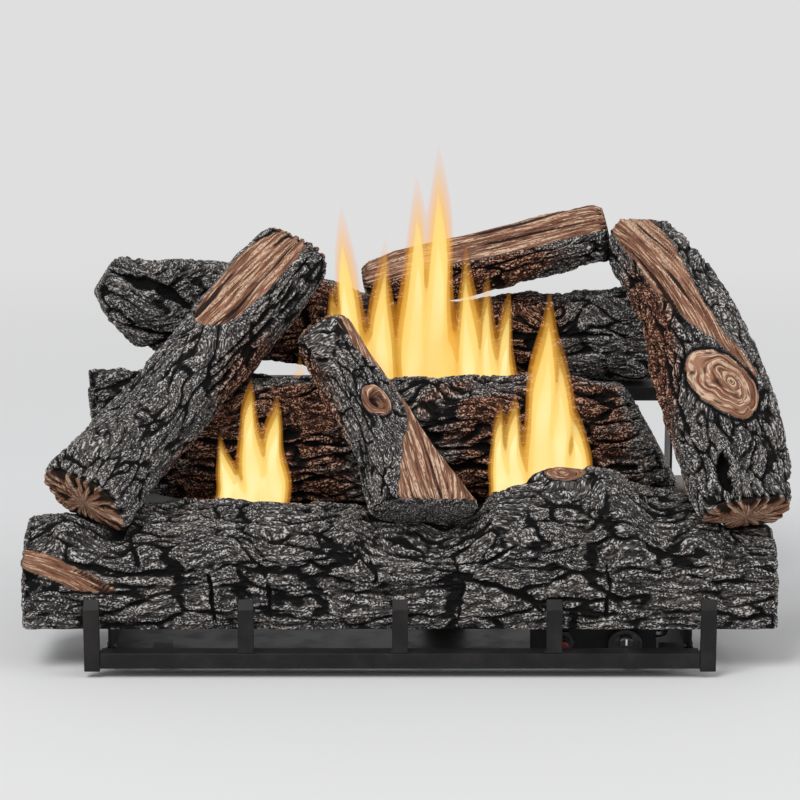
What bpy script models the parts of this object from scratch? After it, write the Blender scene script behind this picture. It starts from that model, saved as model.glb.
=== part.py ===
"""Gas log set: seven moulded logs on a sheet-metal burner base, with a bar grate in front.

Metres, +X right, +Y back, +Z up. The origin is on the floor, under the base pan.
Depths are chained from the grate's rail back to the rear log, and heights from the floor up.
"""

import math

import bmesh
import bpy
from mathutils import Vector

# Fits
SEAT_GAP = 0.0003
LOG_SEAT_GAP = 0.0006
CUT_OVERRUN = 0.003
MERGE_DISTANCE = 0.00001

# Front grate
RAIL_FRONT_Y = -0.150
RAIL_HEIGHT = 0.0127
RAIL_DEPTH = 0.016
RAIL_WALL = 0.0032
RAIL_CLEARANCE = 0.008
UPRIGHT_COUNT = 5
GRATE_FRAME_MARGIN = 0.0105
UPRIGHT_WIDTH = 0.0127
UPRIGHT_THICKNESS = 0.0048
UPRIGHT_HEIGHT = 0.036
UPRIGHT_TIP_LENGTH = 0.010
UPRIGHT_TIP_ANGLE = math.radians(40)
END_UPRIGHT_DROP = 0.0025
BRACKET_WIDTH = 0.015
BRACKET_THICKNESS = 0.003
LEFT_BRACKET_INSET = 0.04735
RIGHT_BRACKET_INSET = 0.022

# Control knob, which sets how high everything above it sits
KNOB_RADIUS = 0.014
KNOB_LENGTH = 0.015
KNOB_BRACKET_DISTANCE = 0.028
KNOB_FLOOR_CLEARANCE = 0.0045
KNOB_LOG_CLEARANCE = 0.0025
KNOB_RAIL_CLEARANCE = 0.003
KNOB_PUSH = 0.005
KNOB_PANEL_CLEARANCE = 0.0025
KNOB_GRIP_RADIUS = 0.0095
KNOB_SKIRT_LENGTH = 0.0045
KNOB_BORE_DEPTH = 0.009
KNOB_EDGE = 0.001
KNOB_GRIP_WIDTH = 0.0105
SPINDLE_RADIUS = 0.003
SPINDLE_CLEARANCE = 0.0004
SPINDLE_ENGAGEMENT = 0.010

# Control group
PANEL_THICKNESS = 0.0016
PANEL_EDGE_MARGIN = 0.026
PANEL_EDGE_CLEARANCE = 0.002
PANEL_HOLE_CLEARANCE = 0.0006
VALVE_WIDTH = 0.046
VALVE_DEPTH = 0.036
VALVE_HEIGHT = 0.018
VALVE_EDGE = 0.002
IGNITER_TUBE_GAP = 0.008
IGNITER_NECK_RADIUS = 0.0055
IGNITER_BODY_RADIUS = 0.0078
IGNITER_BODY_LENGTH = 0.040
IGNITER_NUT_RADIUS = 0.0105
IGNITER_NUT_LENGTH = 0.0035
IGNITER_NECK_STANDOUT = 0.0055
BUTTON_RADIUS = 0.0050
BUTTON_STEM_RADIUS = 0.0034
BUTTON_CAP_LENGTH = 0.004
BUTTON_TRAVEL = 0.006
BUTTON_CLEARANCE = 0.0004
BUTTON_ENGAGEMENT = 0.008
BUTTON_EDGE = 0.0008

# Base pan and its screws
PAN_THICKNESS = 0.0012
PAN_LIP_CLEARANCE = 0.001
FRAME_LOG_INSET = 0.0685
FRAME_THICKNESS = 0.002
FRAME_END_CLEARANCE = 0.0015
SCREW_HEAD_RADIUS = 0.0038
SCREW_HEAD_LENGTH = 0.0022
SCREW_RADIUS = 0.0019
SCREW_CLEARANCE = 0.0003
SCREW_LENGTH = 0.006
SCREW_DRIVE_RADIUS = 0.0015
SCREW_DRIVE_DEPTH = 0.0012
SCREW_END_INSET = 0.022

# Rests that carry the logs
REST_THICKNESS = 0.004
ANGLE_THICKNESS = 0.002
ANGLE_FLANGE = 0.012
REST_INSET = 0.012
REST_OVERHANG = 0.004
PIN_RADIUS = 0.003
PIN_LENGTH = 0.016
PIN_CLEARANCE = 0.001
PIN_POINT = 0.001
PIN_SPREAD = 0.300
PIN_SHARES = {"front": (-0.5, 0.5), "rear": (-0.12, 0.5)}

# Burners
BURNER_RADIUS = 0.0127
BURNER_WALL = 0.001
BURNER_OVERHANG = 0.0085
BURNER_END_WALL = 0.0015
BURNER_SADDLE_WALL = 0.005
FRONT_BURNER_Z = 0.086
REAR_BURNER_Z = 0.104
BURNER_LOG_GAP = 0.009
PORT_LENGTH = 0.011
PORT_WIDTH = 0.0018
PORT_PITCH = 0.0125
FRONT_PORT_SHARES = (-0.243, 0.2245)
FRONT_PORT_COUNT = 6
REAR_PORT_SHARES = (0.0204,)
REAR_PORT_COUNT = 12
AIR_WINDOW_LENGTH = 0.012
AIR_WINDOW_HEIGHT = 0.007
AIR_WINDOW_INSET = 0.024
HOLDER_RADIUS = 0.0085
HOLDER_LENGTH = 0.016
NOZZLE_RADIUS = 0.0035
NOZZLE_LENGTH = 0.010
NOZZLE_BORE_RADIUS = 0.0008
HOLDER_FLANGE_LENGTH = 0.002
TUBE_RADIUS = 0.0032
TUBE_BEND_RADIUS = 0.009
TUBE_CLEARANCE = 0.003
FEED_HOLE_CLEARANCE = 0.0015
FEED_Z = 0.050

# Pilot
PILOT_X = 0.038
PILOT_WIDTH = 0.036
PILOT_THICKNESS = 0.0016
PILOT_SHELF_Z = 0.074
PILOT_SHELF_DEPTH = 0.022
PILOT_FOOT_DEPTH = 0.020
PILOT_BURNER_GAP = 0.004
PILOT_HOOD_RADIUS = 0.0045
PILOT_HOOD_HEIGHT = 0.020
PILOT_NECK_RADIUS = 0.0032
PILOT_SIDE_PITCH = 0.0115
PROBE_RADIUS = 0.0024
PROBE_TIP_RADIUS = 0.0016
PROBE_HEIGHT = 0.024
ELECTRODE_RADIUS = 0.0028
ELECTRODE_WIRE_RADIUS = 0.0009
ELECTRODE_HEIGHT = 0.019
LEAD_RADIUS = 0.0014

# Regulator and gas inlet
NIPPLE_RADIUS = 0.0048
NIPPLE_LENGTH = 0.018
REGULATOR_WIDTH = 0.038
REGULATOR_DEPTH = 0.040
REGULATOR_HEIGHT = 0.022
REGULATOR_EDGE = 0.003
CAP_RADIUS = 0.015
CAP_HEIGHT = 0.010
CAP_STEP = 0.003
INLET_RADIUS = 0.0075
INLET_LENGTH = 0.024
INLET_BORE_RADIUS = 0.004
SHIELD_THICKNESS = 0.0009
SHIELD_SIDE_CLEARANCE = 0.006
SHIELD_TOP_CLEARANCE = 0.008

# Logs: length along the log, depth front to back, height
FRONT_LOG_SETBACK = 0.012
FRONT_LOG_LENGTH = 0.610
FRONT_LOG_DEPTH = 0.084
FRONT_LOG_HEIGHT = 0.096
LEFT_SHELF_SHARE = 0.845
RIGHT_SHELF_SHARE = 0.77
CENTRE_SADDLE_SHARE = 0.81
FRONT_FLAME_GAP = 0.026
MIDDLE_LOG_BED_Z = 0.108
MIDDLE_LOG_LEFT_OVERHANG = 0.024
MIDDLE_LOG_RIGHT_INSET = 0.019
MIDDLE_LOG_DEPTH = 0.074
MIDDLE_LOG_HEIGHT = 0.114
REAR_FLAME_GAP = 0.030
REAR_LOG_BED_Z = 0.190
REAR_LOG_LEFT_OVERHANG = 0.0225
REAR_LOG_RIGHT_INSET = 0.0065
REAR_LOG_DEPTH = 0.076
REAR_LOG_HEIGHT = 0.084
BARK_DEPTH = 0.0022
FURROW_DEPTH = 0.0055
FURROW_RUN_STEP = 0.013
FURROW_GIRTH_STEP = 0.009
FURROW_FADE = 0.010

# Crossing logs: where the middle of each end lies on the logs below, and half the thickness
LEFT_FOOT_END_INSET = 0.0495
LEFT_FOOT_INSET = 0.026
LEFT_FOOT_RISE = 0.0195
LEFT_TOP_END_INSET = 0.174
LEFT_TOP_INSET = -0.005
LEFT_TOP_RISE = 0.041
LEFT_LOG_RADIUS = 0.035
RIGHT_FOOT_END_INSET = 0.026
RIGHT_FOOT_INSET = 0.028
RIGHT_FOOT_RISE = 0.014
RIGHT_KNEE_OUT = 0.0425
RIGHT_KNEE_INSET = -0.022
RIGHT_KNEE_RISE = 0.099
RIGHT_HIP_OUT = 0.0195
RIGHT_HIP_INSET = 0.038
RIGHT_HIP_RISE = 0.054
RIGHT_TOP_END_INSET = 0.027
RIGHT_TOP_INSET = 0.024
RIGHT_TOP_RISE = 0.048
RIGHT_LOG_RADIUS = 0.036
CENTRE_LOG_RUN = 0.089
CENTRE_FOOT_INSET = 0.030
CENTRE_FOOT_RISE = 0.016
CENTRE_TOP_OUT = 0.018
CENTRE_TOP_INSET = 0.018
CENTRE_TOP_RISE = 0.039
CENTRE_LOG_RADIUS = 0.027
TOP_LOG_CLEARANCE = 0.019
TOP_LOG_LAP = 0.023
TOP_LOG_INSET = 0.024
TOP_LOG_LEFT_RISE = 0.001
TOP_LOG_RIGHT_RISE = 0.051
TOP_LOG_RADIUS = 0.027

# How many sides and rings the rounded shapes have
TURNED_STEPS = 20
SMALL_STEPS = 12
BEND_STEPS = 4
NOTCH_STEPS = 8
LOG_SIDES = 18

# Finishes: colour, roughness, metallic
CHARRED_BARK = ((0.045, 0.043, 0.046, 1), 0.9, 0)
BLACK_PAINT = ((0.012, 0.012, 0.013, 1), 0.55, 0)
BURNER_STEEL = ((0.42, 0.40, 0.38, 1), 0.42, 1)
BRASS = ((0.72, 0.52, 0.22, 1), 0.32, 1)
ALUMINIUM = ((0.72, 0.73, 0.74, 1), 0.35, 1)
STAINLESS = ((0.60, 0.59, 0.57, 1), 0.30, 1)
CAST_ALLOY = ((0.48, 0.48, 0.49, 1), 0.55, 1)
BLACK_PLASTIC = ((0.015, 0.015, 0.016, 1), 0.45, 0)
RED_PLASTIC = ((0.35, 0.015, 0.012, 1), 0.40, 0)
CERAMIC = ((0.78, 0.76, 0.70, 1), 0.45, 0)
COPPER = ((0.70, 0.33, 0.20, 1), 0.35, 1)
ZINC = ((0.58, 0.59, 0.60, 1), 0.38, 1)
WIRE_JACKET = ((0.03, 0.03, 0.03, 1), 0.6, 0)

# Heights that follow from the knob
CONTROL_Z = KNOB_FLOOR_CLEARANCE + KNOB_RADIUS
FRONT_BED_Z = CONTROL_Z + KNOB_RADIUS + KNOB_LOG_CLEARANCE
FRONT_REST_TOP_Z = FRONT_BED_Z - SEAT_GAP
FRONT_STEP_Z = FRONT_REST_TOP_Z - REST_THICKNESS - SEAT_GAP
MIDDLE_REST_TOP_Z = MIDDLE_LOG_BED_Z - SEAT_GAP
MIDDLE_STEP_Z = MIDDLE_REST_TOP_Z - ANGLE_THICKNESS - SEAT_GAP
REAR_REST_TOP_Z = REAR_LOG_BED_Z - SEAT_GAP
REAR_STEP_Z = REAR_REST_TOP_Z - ANGLE_THICKNESS - SEAT_GAP
RAIL_TOP_Z = RAIL_CLEARANCE + RAIL_HEIGHT
PAN_FLOOR_Z = PAN_THICKNESS + SEAT_GAP
PAN_LIP_HEIGHT = CONTROL_Z - IGNITER_NECK_RADIUS - PAN_LIP_CLEARANCE
LEFT_SHELF_Z = FRONT_BED_Z + FRONT_LOG_HEIGHT * LEFT_SHELF_SHARE
RIGHT_SHELF_Z = FRONT_BED_Z + FRONT_LOG_HEIGHT * RIGHT_SHELF_SHARE
CENTRE_SADDLE_Z = FRONT_BED_Z + FRONT_LOG_HEIGHT * CENTRE_SADDLE_SHARE
MIDDLE_TOP_Z = MIDDLE_LOG_BED_Z + MIDDLE_LOG_HEIGHT
REAR_TOP_Z = REAR_LOG_BED_Z + REAR_LOG_HEIGHT

# Depths, from the rail back to the rear log
RAIL_BACK_Y = RAIL_FRONT_Y + RAIL_DEPTH
KNOB_FRONT_Y = RAIL_BACK_Y + KNOB_RAIL_CLEARANCE
KNOB_BACK_Y = KNOB_FRONT_Y + KNOB_LENGTH
PANEL_FRONT_Y = KNOB_BACK_Y + KNOB_PUSH + KNOB_PANEL_CLEARANCE
PANEL_BACK_Y = PANEL_FRONT_Y + PANEL_THICKNESS
PAN_FRONT_Y = PANEL_BACK_Y + SEAT_GAP
FRAME_FRONT_Y = PAN_FRONT_Y + PAN_THICKNESS + FRAME_END_CLEARANCE
VALVE_FRONT_Y = PAN_FRONT_Y + PAN_THICKNESS + SEAT_GAP
VALVE_BACK_Y = VALVE_FRONT_Y + VALVE_DEPTH
FRONT_LOG_Y = RAIL_FRONT_Y + FRONT_LOG_SETBACK
FRONT_LOG_BACK_Y = FRONT_LOG_Y + FRONT_LOG_DEPTH
FRONT_BURNER_Y = FRONT_LOG_BACK_Y + BURNER_LOG_GAP + BURNER_RADIUS
MIDDLE_LOG_Y = FRONT_LOG_BACK_Y + FRONT_FLAME_GAP
MIDDLE_LOG_BACK_Y = MIDDLE_LOG_Y + MIDDLE_LOG_DEPTH
REAR_LOG_Y = MIDDLE_LOG_BACK_Y + REAR_FLAME_GAP
REAR_LOG_BACK_Y = REAR_LOG_Y + REAR_LOG_DEPTH
REAR_BURNER_Y = (MIDDLE_LOG_BACK_Y + REAR_LOG_Y) / 2
FRAME_BACK_Y = REAR_LOG_BACK_Y - REST_INSET
PAN_BACK_Y = FRAME_BACK_Y + FRAME_END_CLEARANCE + PAN_THICKNESS

# Widths, from the front log's ends inward
FRONT_LOG_END_X = FRONT_LOG_LENGTH / 2
FRAME_X = FRONT_LOG_END_X - FRAME_LOG_INSET
BURNER_LENGTH = 2 * (FRAME_X + BURNER_OVERHANG)
MIDDLE_LOG_LEFT_X = -FRAME_X - MIDDLE_LOG_LEFT_OVERHANG
MIDDLE_LOG_RIGHT_X = FRAME_X - MIDDLE_LOG_RIGHT_INSET
REAR_LOG_LEFT_X = -FRAME_X - REAR_LOG_LEFT_OVERHANG
REAR_LOG_RIGHT_X = FRAME_X - REAR_LOG_RIGHT_INSET
LEFT_FOOT_X = LEFT_FOOT_END_INSET - FRONT_LOG_END_X
LEFT_TOP_X = REAR_LOG_LEFT_X + LEFT_TOP_END_INSET
RIGHT_FOOT_X = FRONT_LOG_END_X - RIGHT_FOOT_END_INSET
RIGHT_KNEE_X = MIDDLE_LOG_RIGHT_X + RIGHT_KNEE_OUT
RIGHT_HIP_X = MIDDLE_LOG_RIGHT_X + RIGHT_HIP_OUT
RIGHT_TOP_X = REAR_LOG_RIGHT_X - RIGHT_TOP_END_INSET
TOP_LOG_RIGHT_X = RIGHT_TOP_X - TOP_LOG_LAP
TOP_LOG_LEFT_X = LEFT_TOP_X + LEFT_LOG_RADIUS + TOP_LOG_CLEARANCE
CENTRE_TOP_X = LEFT_TOP_X + CENTRE_TOP_OUT
CENTRE_FOOT_X = CENTRE_TOP_X + CENTRE_LOG_RUN
PAN_X = FRAME_X + FRAME_THICKNESS + SEAT_GAP + PAN_THICKNESS
END_UPRIGHT_X = FRAME_X + GRATE_FRAME_MARGIN
UPRIGHT_SPACING = 2 * END_UPRIGHT_X / (UPRIGHT_COUNT - 1)
RAIL_X = END_UPRIGHT_X - UPRIGHT_WIDTH / 2 - SEAT_GAP
LEFT_BRACKET_X = LEFT_BRACKET_INSET - RAIL_X
RIGHT_BRACKET_X = RAIL_X - RIGHT_BRACKET_INSET
KNOB_X = RIGHT_BRACKET_X - BRACKET_WIDTH / 2 - KNOB_BRACKET_DISTANCE
VALVE_LEFT_X = KNOB_X - VALVE_WIDTH / 2
SIDE_TUBE_X = VALVE_LEFT_X - TUBE_BEND_RADIUS - TUBE_CLEARANCE
IGNITER_X = SIDE_TUBE_X - IGNITER_TUBE_GAP - IGNITER_BODY_RADIUS
IGNITER_BACK_Y = VALVE_FRONT_Y + IGNITER_BODY_LENGTH
VALVE_MIDDLE_Y = (VALVE_FRONT_Y + VALVE_BACK_Y) / 2
PILOT_SHELF_Y = FRONT_BURNER_Y + BURNER_RADIUS + PILOT_BURNER_GAP + PILOT_SHELF_DEPTH / 2
PILOT_POST_Y = PILOT_SHELF_Y + PILOT_SHELF_DEPTH / 2
PILOT_SCREW_Y = PILOT_POST_Y + PILOT_FOOT_DEPTH / 2

# Front log: its side outline from the front over the top and back, as shares of depth and height
FRONT_OVER_SHARES = (
    (0.00, 0.40),
    (0.00, 0.62),
    (0.07, 0.74),
    (0.22, 0.85),
    (0.42, 0.95),
    (0.64, 1.00),
    (0.84, 0.97),
    (0.96, 0.84),
    (1.00, 0.62),
    (1.00, 0.40),
)
FRONT_UNDER_SHARES = ((0.99, 0.14), (0.93, 0.0), (0.62, 0.0), (0.32, 0.0), (0.06, 0.0), (0.0, 0.10))
# How high its back ridge stands along its length: a shelf at each end and a knotted bump
FRONT_RIDGE_SHARES = (
    (0.000, 0.865),
    (0.132, 0.875),
    (0.142, 1.00),
    (0.230, 1.035),
    (0.330, 0.985),
    (0.392, 1.01),
    (0.440, 0.94),
    (0.465, 0.83),
    (0.500, 0.80),
    (0.590, 0.82),
    (0.608, 0.93),
    (0.624, 1.10),
    (0.652, 1.16),
    (0.678, 1.26),
    (0.710, 1.32),
    (0.768, 1.36),
    (0.790, 1.29),
    (0.823, 1.16),
    (0.885, 1.05),
    (0.905, 0.99),
    (0.923, 0.92),
    (0.934, 0.77),
    (1.000, 0.79),
)
FRONT_RING_COUNT = 26
END_INSET_SHARE = 0.04
END_LENGTH_SHARE = 0.007

# Sections along the other logs: share along, width share, height share, lean share
MIDDLE_SECTION_SHARES = (
    (0.000, 0.62, 0.50, -0.30),
    (0.012, 0.74, 0.58, -0.30),
    (0.060, 0.92, 0.82, -0.20),
    (0.140, 1.00, 0.97, 0.00),
    (0.350, 0.96, 1.00, 0.00),
    (0.600, 1.00, 0.98, 0.00),
    (0.850, 0.98, 0.98, 0.00),
    (0.955, 0.94, 0.90, -0.22),
    (0.988, 0.84, 0.80, -0.40),
    (1.000, 0.70, 0.66, -0.40),
)
MIDDLE_RISE_SHARES = ((0.0, 0.46), (0.08, 0.14), (0.16, -0.04), (0.85, -0.04), (1.0, -0.12))
REAR_SECTION_SHARES = (
    (0.000, 0.60, 0.48, 0.00),
    (0.012, 0.74, 0.60, 0.00),
    (0.045, 0.86, 0.85, 0.00),
    (0.085, 0.95, 1.08, 0.00),
    (0.197, 0.98, 1.08, 0.00),
    (0.357, 1.00, 1.02, 0.00),
    (0.452, 0.98, 0.98, 0.00),
    (0.540, 0.96, 0.89, 0.00),
    (0.650, 0.96, 0.89, 0.00),
    (0.740, 0.98, 0.95, 0.00),
    (0.880, 1.00, 1.00, 0.00),
    (0.960, 0.98, 1.06, 0.00),
    (0.990, 0.86, 0.92, 0.00),
    (1.000, 0.74, 0.80, 0.00),
)
REAR_RISE_SHARES = (
    (0.00, 1.26),
    (0.05, 0.90),
    (0.10, 0.60),
    (0.20, 0.56),
    (0.36, 0.34),
    (0.45, -0.04),
    (0.54, -0.13),
    (0.65, -0.13),
    (0.74, -0.06),
    (0.88, -0.01),
    (1.00, 0.06),
)
LEFT_SECTION_SHARES = (
    (0.000, 1.16, 0.94, 0.00),
    (0.020, 1.24, 1.02, 0.00),
    (0.120, 1.10, 1.00, 0.00),
    (0.300, 1.00, 1.00, 0.00),
    (0.600, 1.00, 1.02, 0.00),
    (0.850, 1.04, 1.00, 0.00),
    (0.960, 0.98, 0.92, 0.00),
    (0.990, 0.86, 0.80, 0.00),
    (1.000, 0.72, 0.66, 0.00),
)
RIGHT_SECTION_SHARES = (
    (0.000, 1.06, 0.92, 0.00),
    (0.015, 1.14, 1.00, 0.00),
    (0.120, 1.22, 1.04, 0.00),
    (0.300, 1.34, 1.06, 0.00),
    (0.450, 1.30, 1.04, 0.00),
    (0.600, 1.14, 1.00, 0.00),
    (0.750, 1.00, 0.96, 0.00),
    (0.900, 0.94, 0.92, 0.00),
    (0.985, 0.88, 0.86, 0.00),
    (1.000, 0.72, 0.70, 0.00),
)
CENTRE_SECTION_SHARES = (
    (0.000, 1.60, 0.94, 0.00),
    (0.020, 1.70, 1.02, 0.00),
    (0.160, 1.42, 1.04, 0.00),
    (0.350, 1.12, 1.02, 0.00),
    (0.600, 1.00, 1.00, 0.00),
    (0.850, 0.94, 0.96, 0.00),
    (0.970, 0.88, 0.88, 0.00),
    (1.000, 0.62, 0.62, 0.00),
)
TOP_SECTION_SHARES = (
    (0.000, 0.62, 0.60, 0.00),
    (0.020, 0.84, 0.82, 0.00),
    (0.150, 1.00, 1.00, 0.00),
    (0.500, 1.04, 1.02, 0.00),
    (0.800, 1.00, 1.00, 0.00),
    (0.975, 0.98, 0.98, 0.00),
    (1.000, 0.84, 0.86, 0.00),
)
MIDDLE_RING_COUNT = 22
REAR_RING_COUNT = 22
CROSSING_RING_COUNT = 16
TOP_RING_COUNT = 14
# Split faces: direction round the log in degrees from its side, then how far out the wood still
# stands at shares along the log, where 1.5 leaves the bark whole
LEFT_SPLIT_SHARES = (66, ((0.0, 1.5), (0.60, 1.5), (0.66, 0.90), (0.78, 0.78), (1.0, 0.66)))
RIGHT_SPLIT_SHARES = (84, ((0.0, 1.5), (0.45, 1.5), (0.60, 0.93), (0.80, 0.80), (1.0, 0.64)))
CENTRE_SPLIT_SHARES = (80, ((0.0, 0.70), (0.30, 0.78), (0.50, 0.94), (0.62, 1.5), (1.0, 1.5)))
TOP_SPLIT_SHARES = (60, ((0.0, 0.68), (0.5, 0.66), (1.0, 0.64)))
# Sawn-off branch stubs: share along, direction in degrees, reach along the log as a share of its
# radius, reach round it in radians, and height as a share of its radius
RIGHT_KNOT_SHARES = (0.31, 88, 0.85, 0.65, 0.16)
CENTRE_KNOT_SHARES = (0.52, 116, 0.47, 0.47, 0.07)
SQUARENESS = 2.5
FOOT_TURN_SHARE = 0.45
RISE_STEPS = 24


def finish(thing, look):
    """Gives an object its own Principled material."""
    colour, roughness, metallic = look
    material = bpy.data.materials.new(thing.name + "_finish")
    material.use_nodes = True
    shader = material.node_tree.nodes["Principled BSDF"]
    shader.inputs["Base Color"].default_value = colour
    shader.inputs["Roughness"].default_value = roughness
    shader.inputs["Metallic"].default_value = metallic
    thing.data.materials.append(material)


def place(name, shape, origin, look, smooth=False):
    """Makes a part from a bmesh in world places, with the object's origin where asked."""
    bmesh.ops.translate(shape, vec=-Vector(origin), verts=shape.verts)
    mesh = bpy.data.meshes.new(name)
    shape.to_mesh(mesh)
    shape.free()
    thing = bpy.data.objects.new(name, mesh)
    thing.location = origin
    parts.objects.link(thing)
    if smooth:
        mesh.shade_smooth()
        mesh.set_sharp_from_angle(angle=math.radians(40))
    finish(thing, look)
    return thing


def cutter(name, shape):
    """Keeps a bmesh in world places as a cutter."""
    mesh = bpy.data.meshes.new(name)
    shape.to_mesh(mesh)
    shape.free()
    thing = bpy.data.objects.new(name, mesh)
    thing.hide_render = True
    thing.display_type = "WIRE"
    cutters.objects.link(thing)
    return thing


def cut(thing, tool):
    """Subtracts a cutter from a part."""
    modifier = thing.modifiers.new("cut_by_" + tool.name, "BOOLEAN")
    modifier.operation = "DIFFERENCE"
    modifier.solver = "EXACT"
    modifier.object = tool


def soften(thing, width):
    """Rounds the edges of a part."""
    modifier = thing.modifiers.new("rounded_edges", "BEVEL")
    modifier.width = width
    modifier.segments = 2
    modifier.limit_method = "ANGLE"


def cube_shape(low, high, shape=None):
    """A box between two corners, added to a bmesh."""
    shape = shape or bmesh.new()
    size = Vector(high) - Vector(low)
    made = bmesh.ops.create_cube(shape, size=1)["verts"]
    bmesh.ops.scale(shape, vec=size, verts=made)
    bmesh.ops.translate(shape, vec=Vector(low) + size / 2, verts=made)
    return shape


def rod_shape(start, end, radius, shape=None, steps=SMALL_STEPS):
    """A round rod between two points, added to a bmesh."""
    shape = shape or bmesh.new()
    way = Vector(end) - Vector(start)
    made = bmesh.ops.create_cone(
        shape, cap_ends=True, segments=steps, radius1=radius, radius2=radius, depth=way.length
    )["verts"]
    bmesh.ops.rotate(shape, matrix=way.to_track_quat("Z", "Y").to_matrix(), verts=made)
    bmesh.ops.translate(shape, vec=Vector(start) + way / 2, verts=made)
    return shape


def box(name, low, high, look, edge=0):
    """A block between two corners."""
    thing = place(name, cube_shape(low, high), (Vector(low) + Vector(high)) / 2, look)
    if edge:
        soften(thing, edge)
    return thing


def turned(name, profile, origin, turn, look, steps=TURNED_STEPS):
    """A turned piece: its profile runs down the outer side, radius then height, about local +Z."""
    mesh = bpy.data.meshes.new(name)
    edges = [(i, i + 1) for i in range(len(profile) - 1)]
    mesh.from_pydata([(radius, 0, height) for radius, height in profile], edges, [])
    thing = bpy.data.objects.new(name, mesh)
    thing.location = origin
    thing.rotation_euler = turn
    parts.objects.link(thing)
    modifier = thing.modifiers.new("turning", "SCREW")
    modifier.steps = steps
    modifier.render_steps = steps
    modifier.use_merge_vertices = True
    modifier.merge_threshold = MERGE_DISTANCE
    modifier.use_smooth_shade = True
    finish(thing, look)
    return thing


def plate(name, outline, low, high, axis, look, holes=()):
    """A flat piece: an outline filled between two places along X or Y, with round holes."""
    curve = bpy.data.curves.new(name, "CURVE")
    curve.dimensions = "2D"
    curve.fill_mode = "BOTH"
    curve.extrude = (high - low) / 2
    for loop in (outline, *holes):
        spline = curve.splines.new("POLY")
        spline.points.add(len(loop) - 1)
        for point, (across, up) in zip(spline.points, loop):
            point.co = (across, up, 0, 1)
        spline.use_cyclic_u = True
    middle = (low + high) / 2
    along_x = axis == "X"
    drawn = bpy.data.objects.new(name, curve)
    drawn.location = (middle, 0, 0) if along_x else (0, middle, 0)
    drawn.rotation_euler = (math.radians(90), 0, math.radians(90) if along_x else 0)
    return solid_from_curve(drawn, name, look)


def solid_from_curve(drawn, name, look):
    """Turns a drawn curve into a welded mesh object and removes the curve."""
    parts.objects.link(drawn)
    bpy.context.view_layer.update()
    mesh = bpy.data.meshes.new_from_object(drawn.evaluated_get(bpy.context.evaluated_depsgraph_get()))
    shape = bmesh.new()
    shape.from_mesh(mesh)
    bmesh.ops.remove_doubles(shape, verts=shape.verts, dist=MERGE_DISTANCE)
    bmesh.ops.recalc_face_normals(shape, faces=shape.faces)
    shape.to_mesh(mesh)
    shape.free()
    thing = bpy.data.objects.new(name, mesh)
    thing.matrix_world = drawn.matrix_world
    bpy.data.objects.remove(drawn)
    thing.name = name
    parts.objects.link(thing)
    mesh.materials.clear()
    finish(thing, look)
    return thing


def rounded_route(corners, bend):
    """Points along straight runs joined by round bends."""
    route = [Vector(corners[0])]
    for before, corner, after in zip(corners, corners[1:], corners[2:]):
        corner = Vector(corner)
        come = (corner - Vector(before)).normalized()
        go = (Vector(after) - corner).normalized()
        turn = come.angle(go)
        reach = bend * math.tan(turn / 2)
        start = corner - come * reach
        centre = start + (go - come * go.dot(come)).normalized() * bend
        side = start - centre
        for i in range(BEND_STEPS + 1):
            swept = turn * i / BEND_STEPS
            route.append(centre + side * math.cos(swept) + come * bend * math.sin(swept))
    route.append(Vector(corners[-1]))
    return route


def tube(name, corners, radius, bend, look):
    """A bent tube or wire with filled ends."""
    curve = bpy.data.curves.new(name, "CURVE")
    curve.dimensions = "3D"
    curve.bevel_depth = radius
    curve.bevel_resolution = 2
    curve.use_fill_caps = True
    route = rounded_route(corners, bend)
    spline = curve.splines.new("POLY")
    spline.points.add(len(route) - 1)
    for point, spot in zip(spline.points, route):
        point.co = (*spot, 1)
    drawn = bpy.data.objects.new(name, curve)
    return solid_from_curve(drawn, name, look)


def between(shares, at):
    """Reads a table of (share along, value, ...) rows at one share, straight between rows."""
    for low, high in zip(shares, shares[1:]):
        if at <= high[0]:
            part = (at - low[0]) / (high[0] - low[0])
            return [a + (b - a) * part for a, b in zip(low[1:], high[1:])]
    return list(shares[-1][1:])


def stations(count, *tables):
    """Shares along a log where a ring lies: an even row, and each row of its tables."""
    rows = {row[0] for table in tables for row in table}
    even = {i / count for i in range(count + 1)}
    near = 0.45 / count
    return sorted(rows | {at for at in even if all(abs(at - row) > near for row in rows)})


def bark(turn, along, phase):
    """How far the bark stands out, from -1 to 1, at a direction and a share along the log."""
    return (
        0.50 * math.sin(3 * turn + phase + 7 * along)
        + 0.30 * math.sin(5 * turn - 2 * phase - 15 * along)
        + 0.20 * math.sin(2 * turn + 3 * phase + 31 * along)
    )


def spine_point(spine, at):
    """A point on a smooth curve through the spine's points, at a share along it."""
    last = len(spine) - 1
    step = min(int(at * last), last - 1)
    part = at * last - step
    a, b = spine[step], spine[step + 1]
    before = spine[step - 1] if step else a * 2 - b
    after = spine[step + 2] if step + 2 <= last else b * 2 - a
    blend = 3 * part**2 - 2 * part**3
    leave = (b - before) * (part - 2 * part**2 + part**3) / 2
    arrive = (after - a) * (part**3 - part**2) / 2
    return a * (1 - blend) + b * blend + leave + arrive


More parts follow.
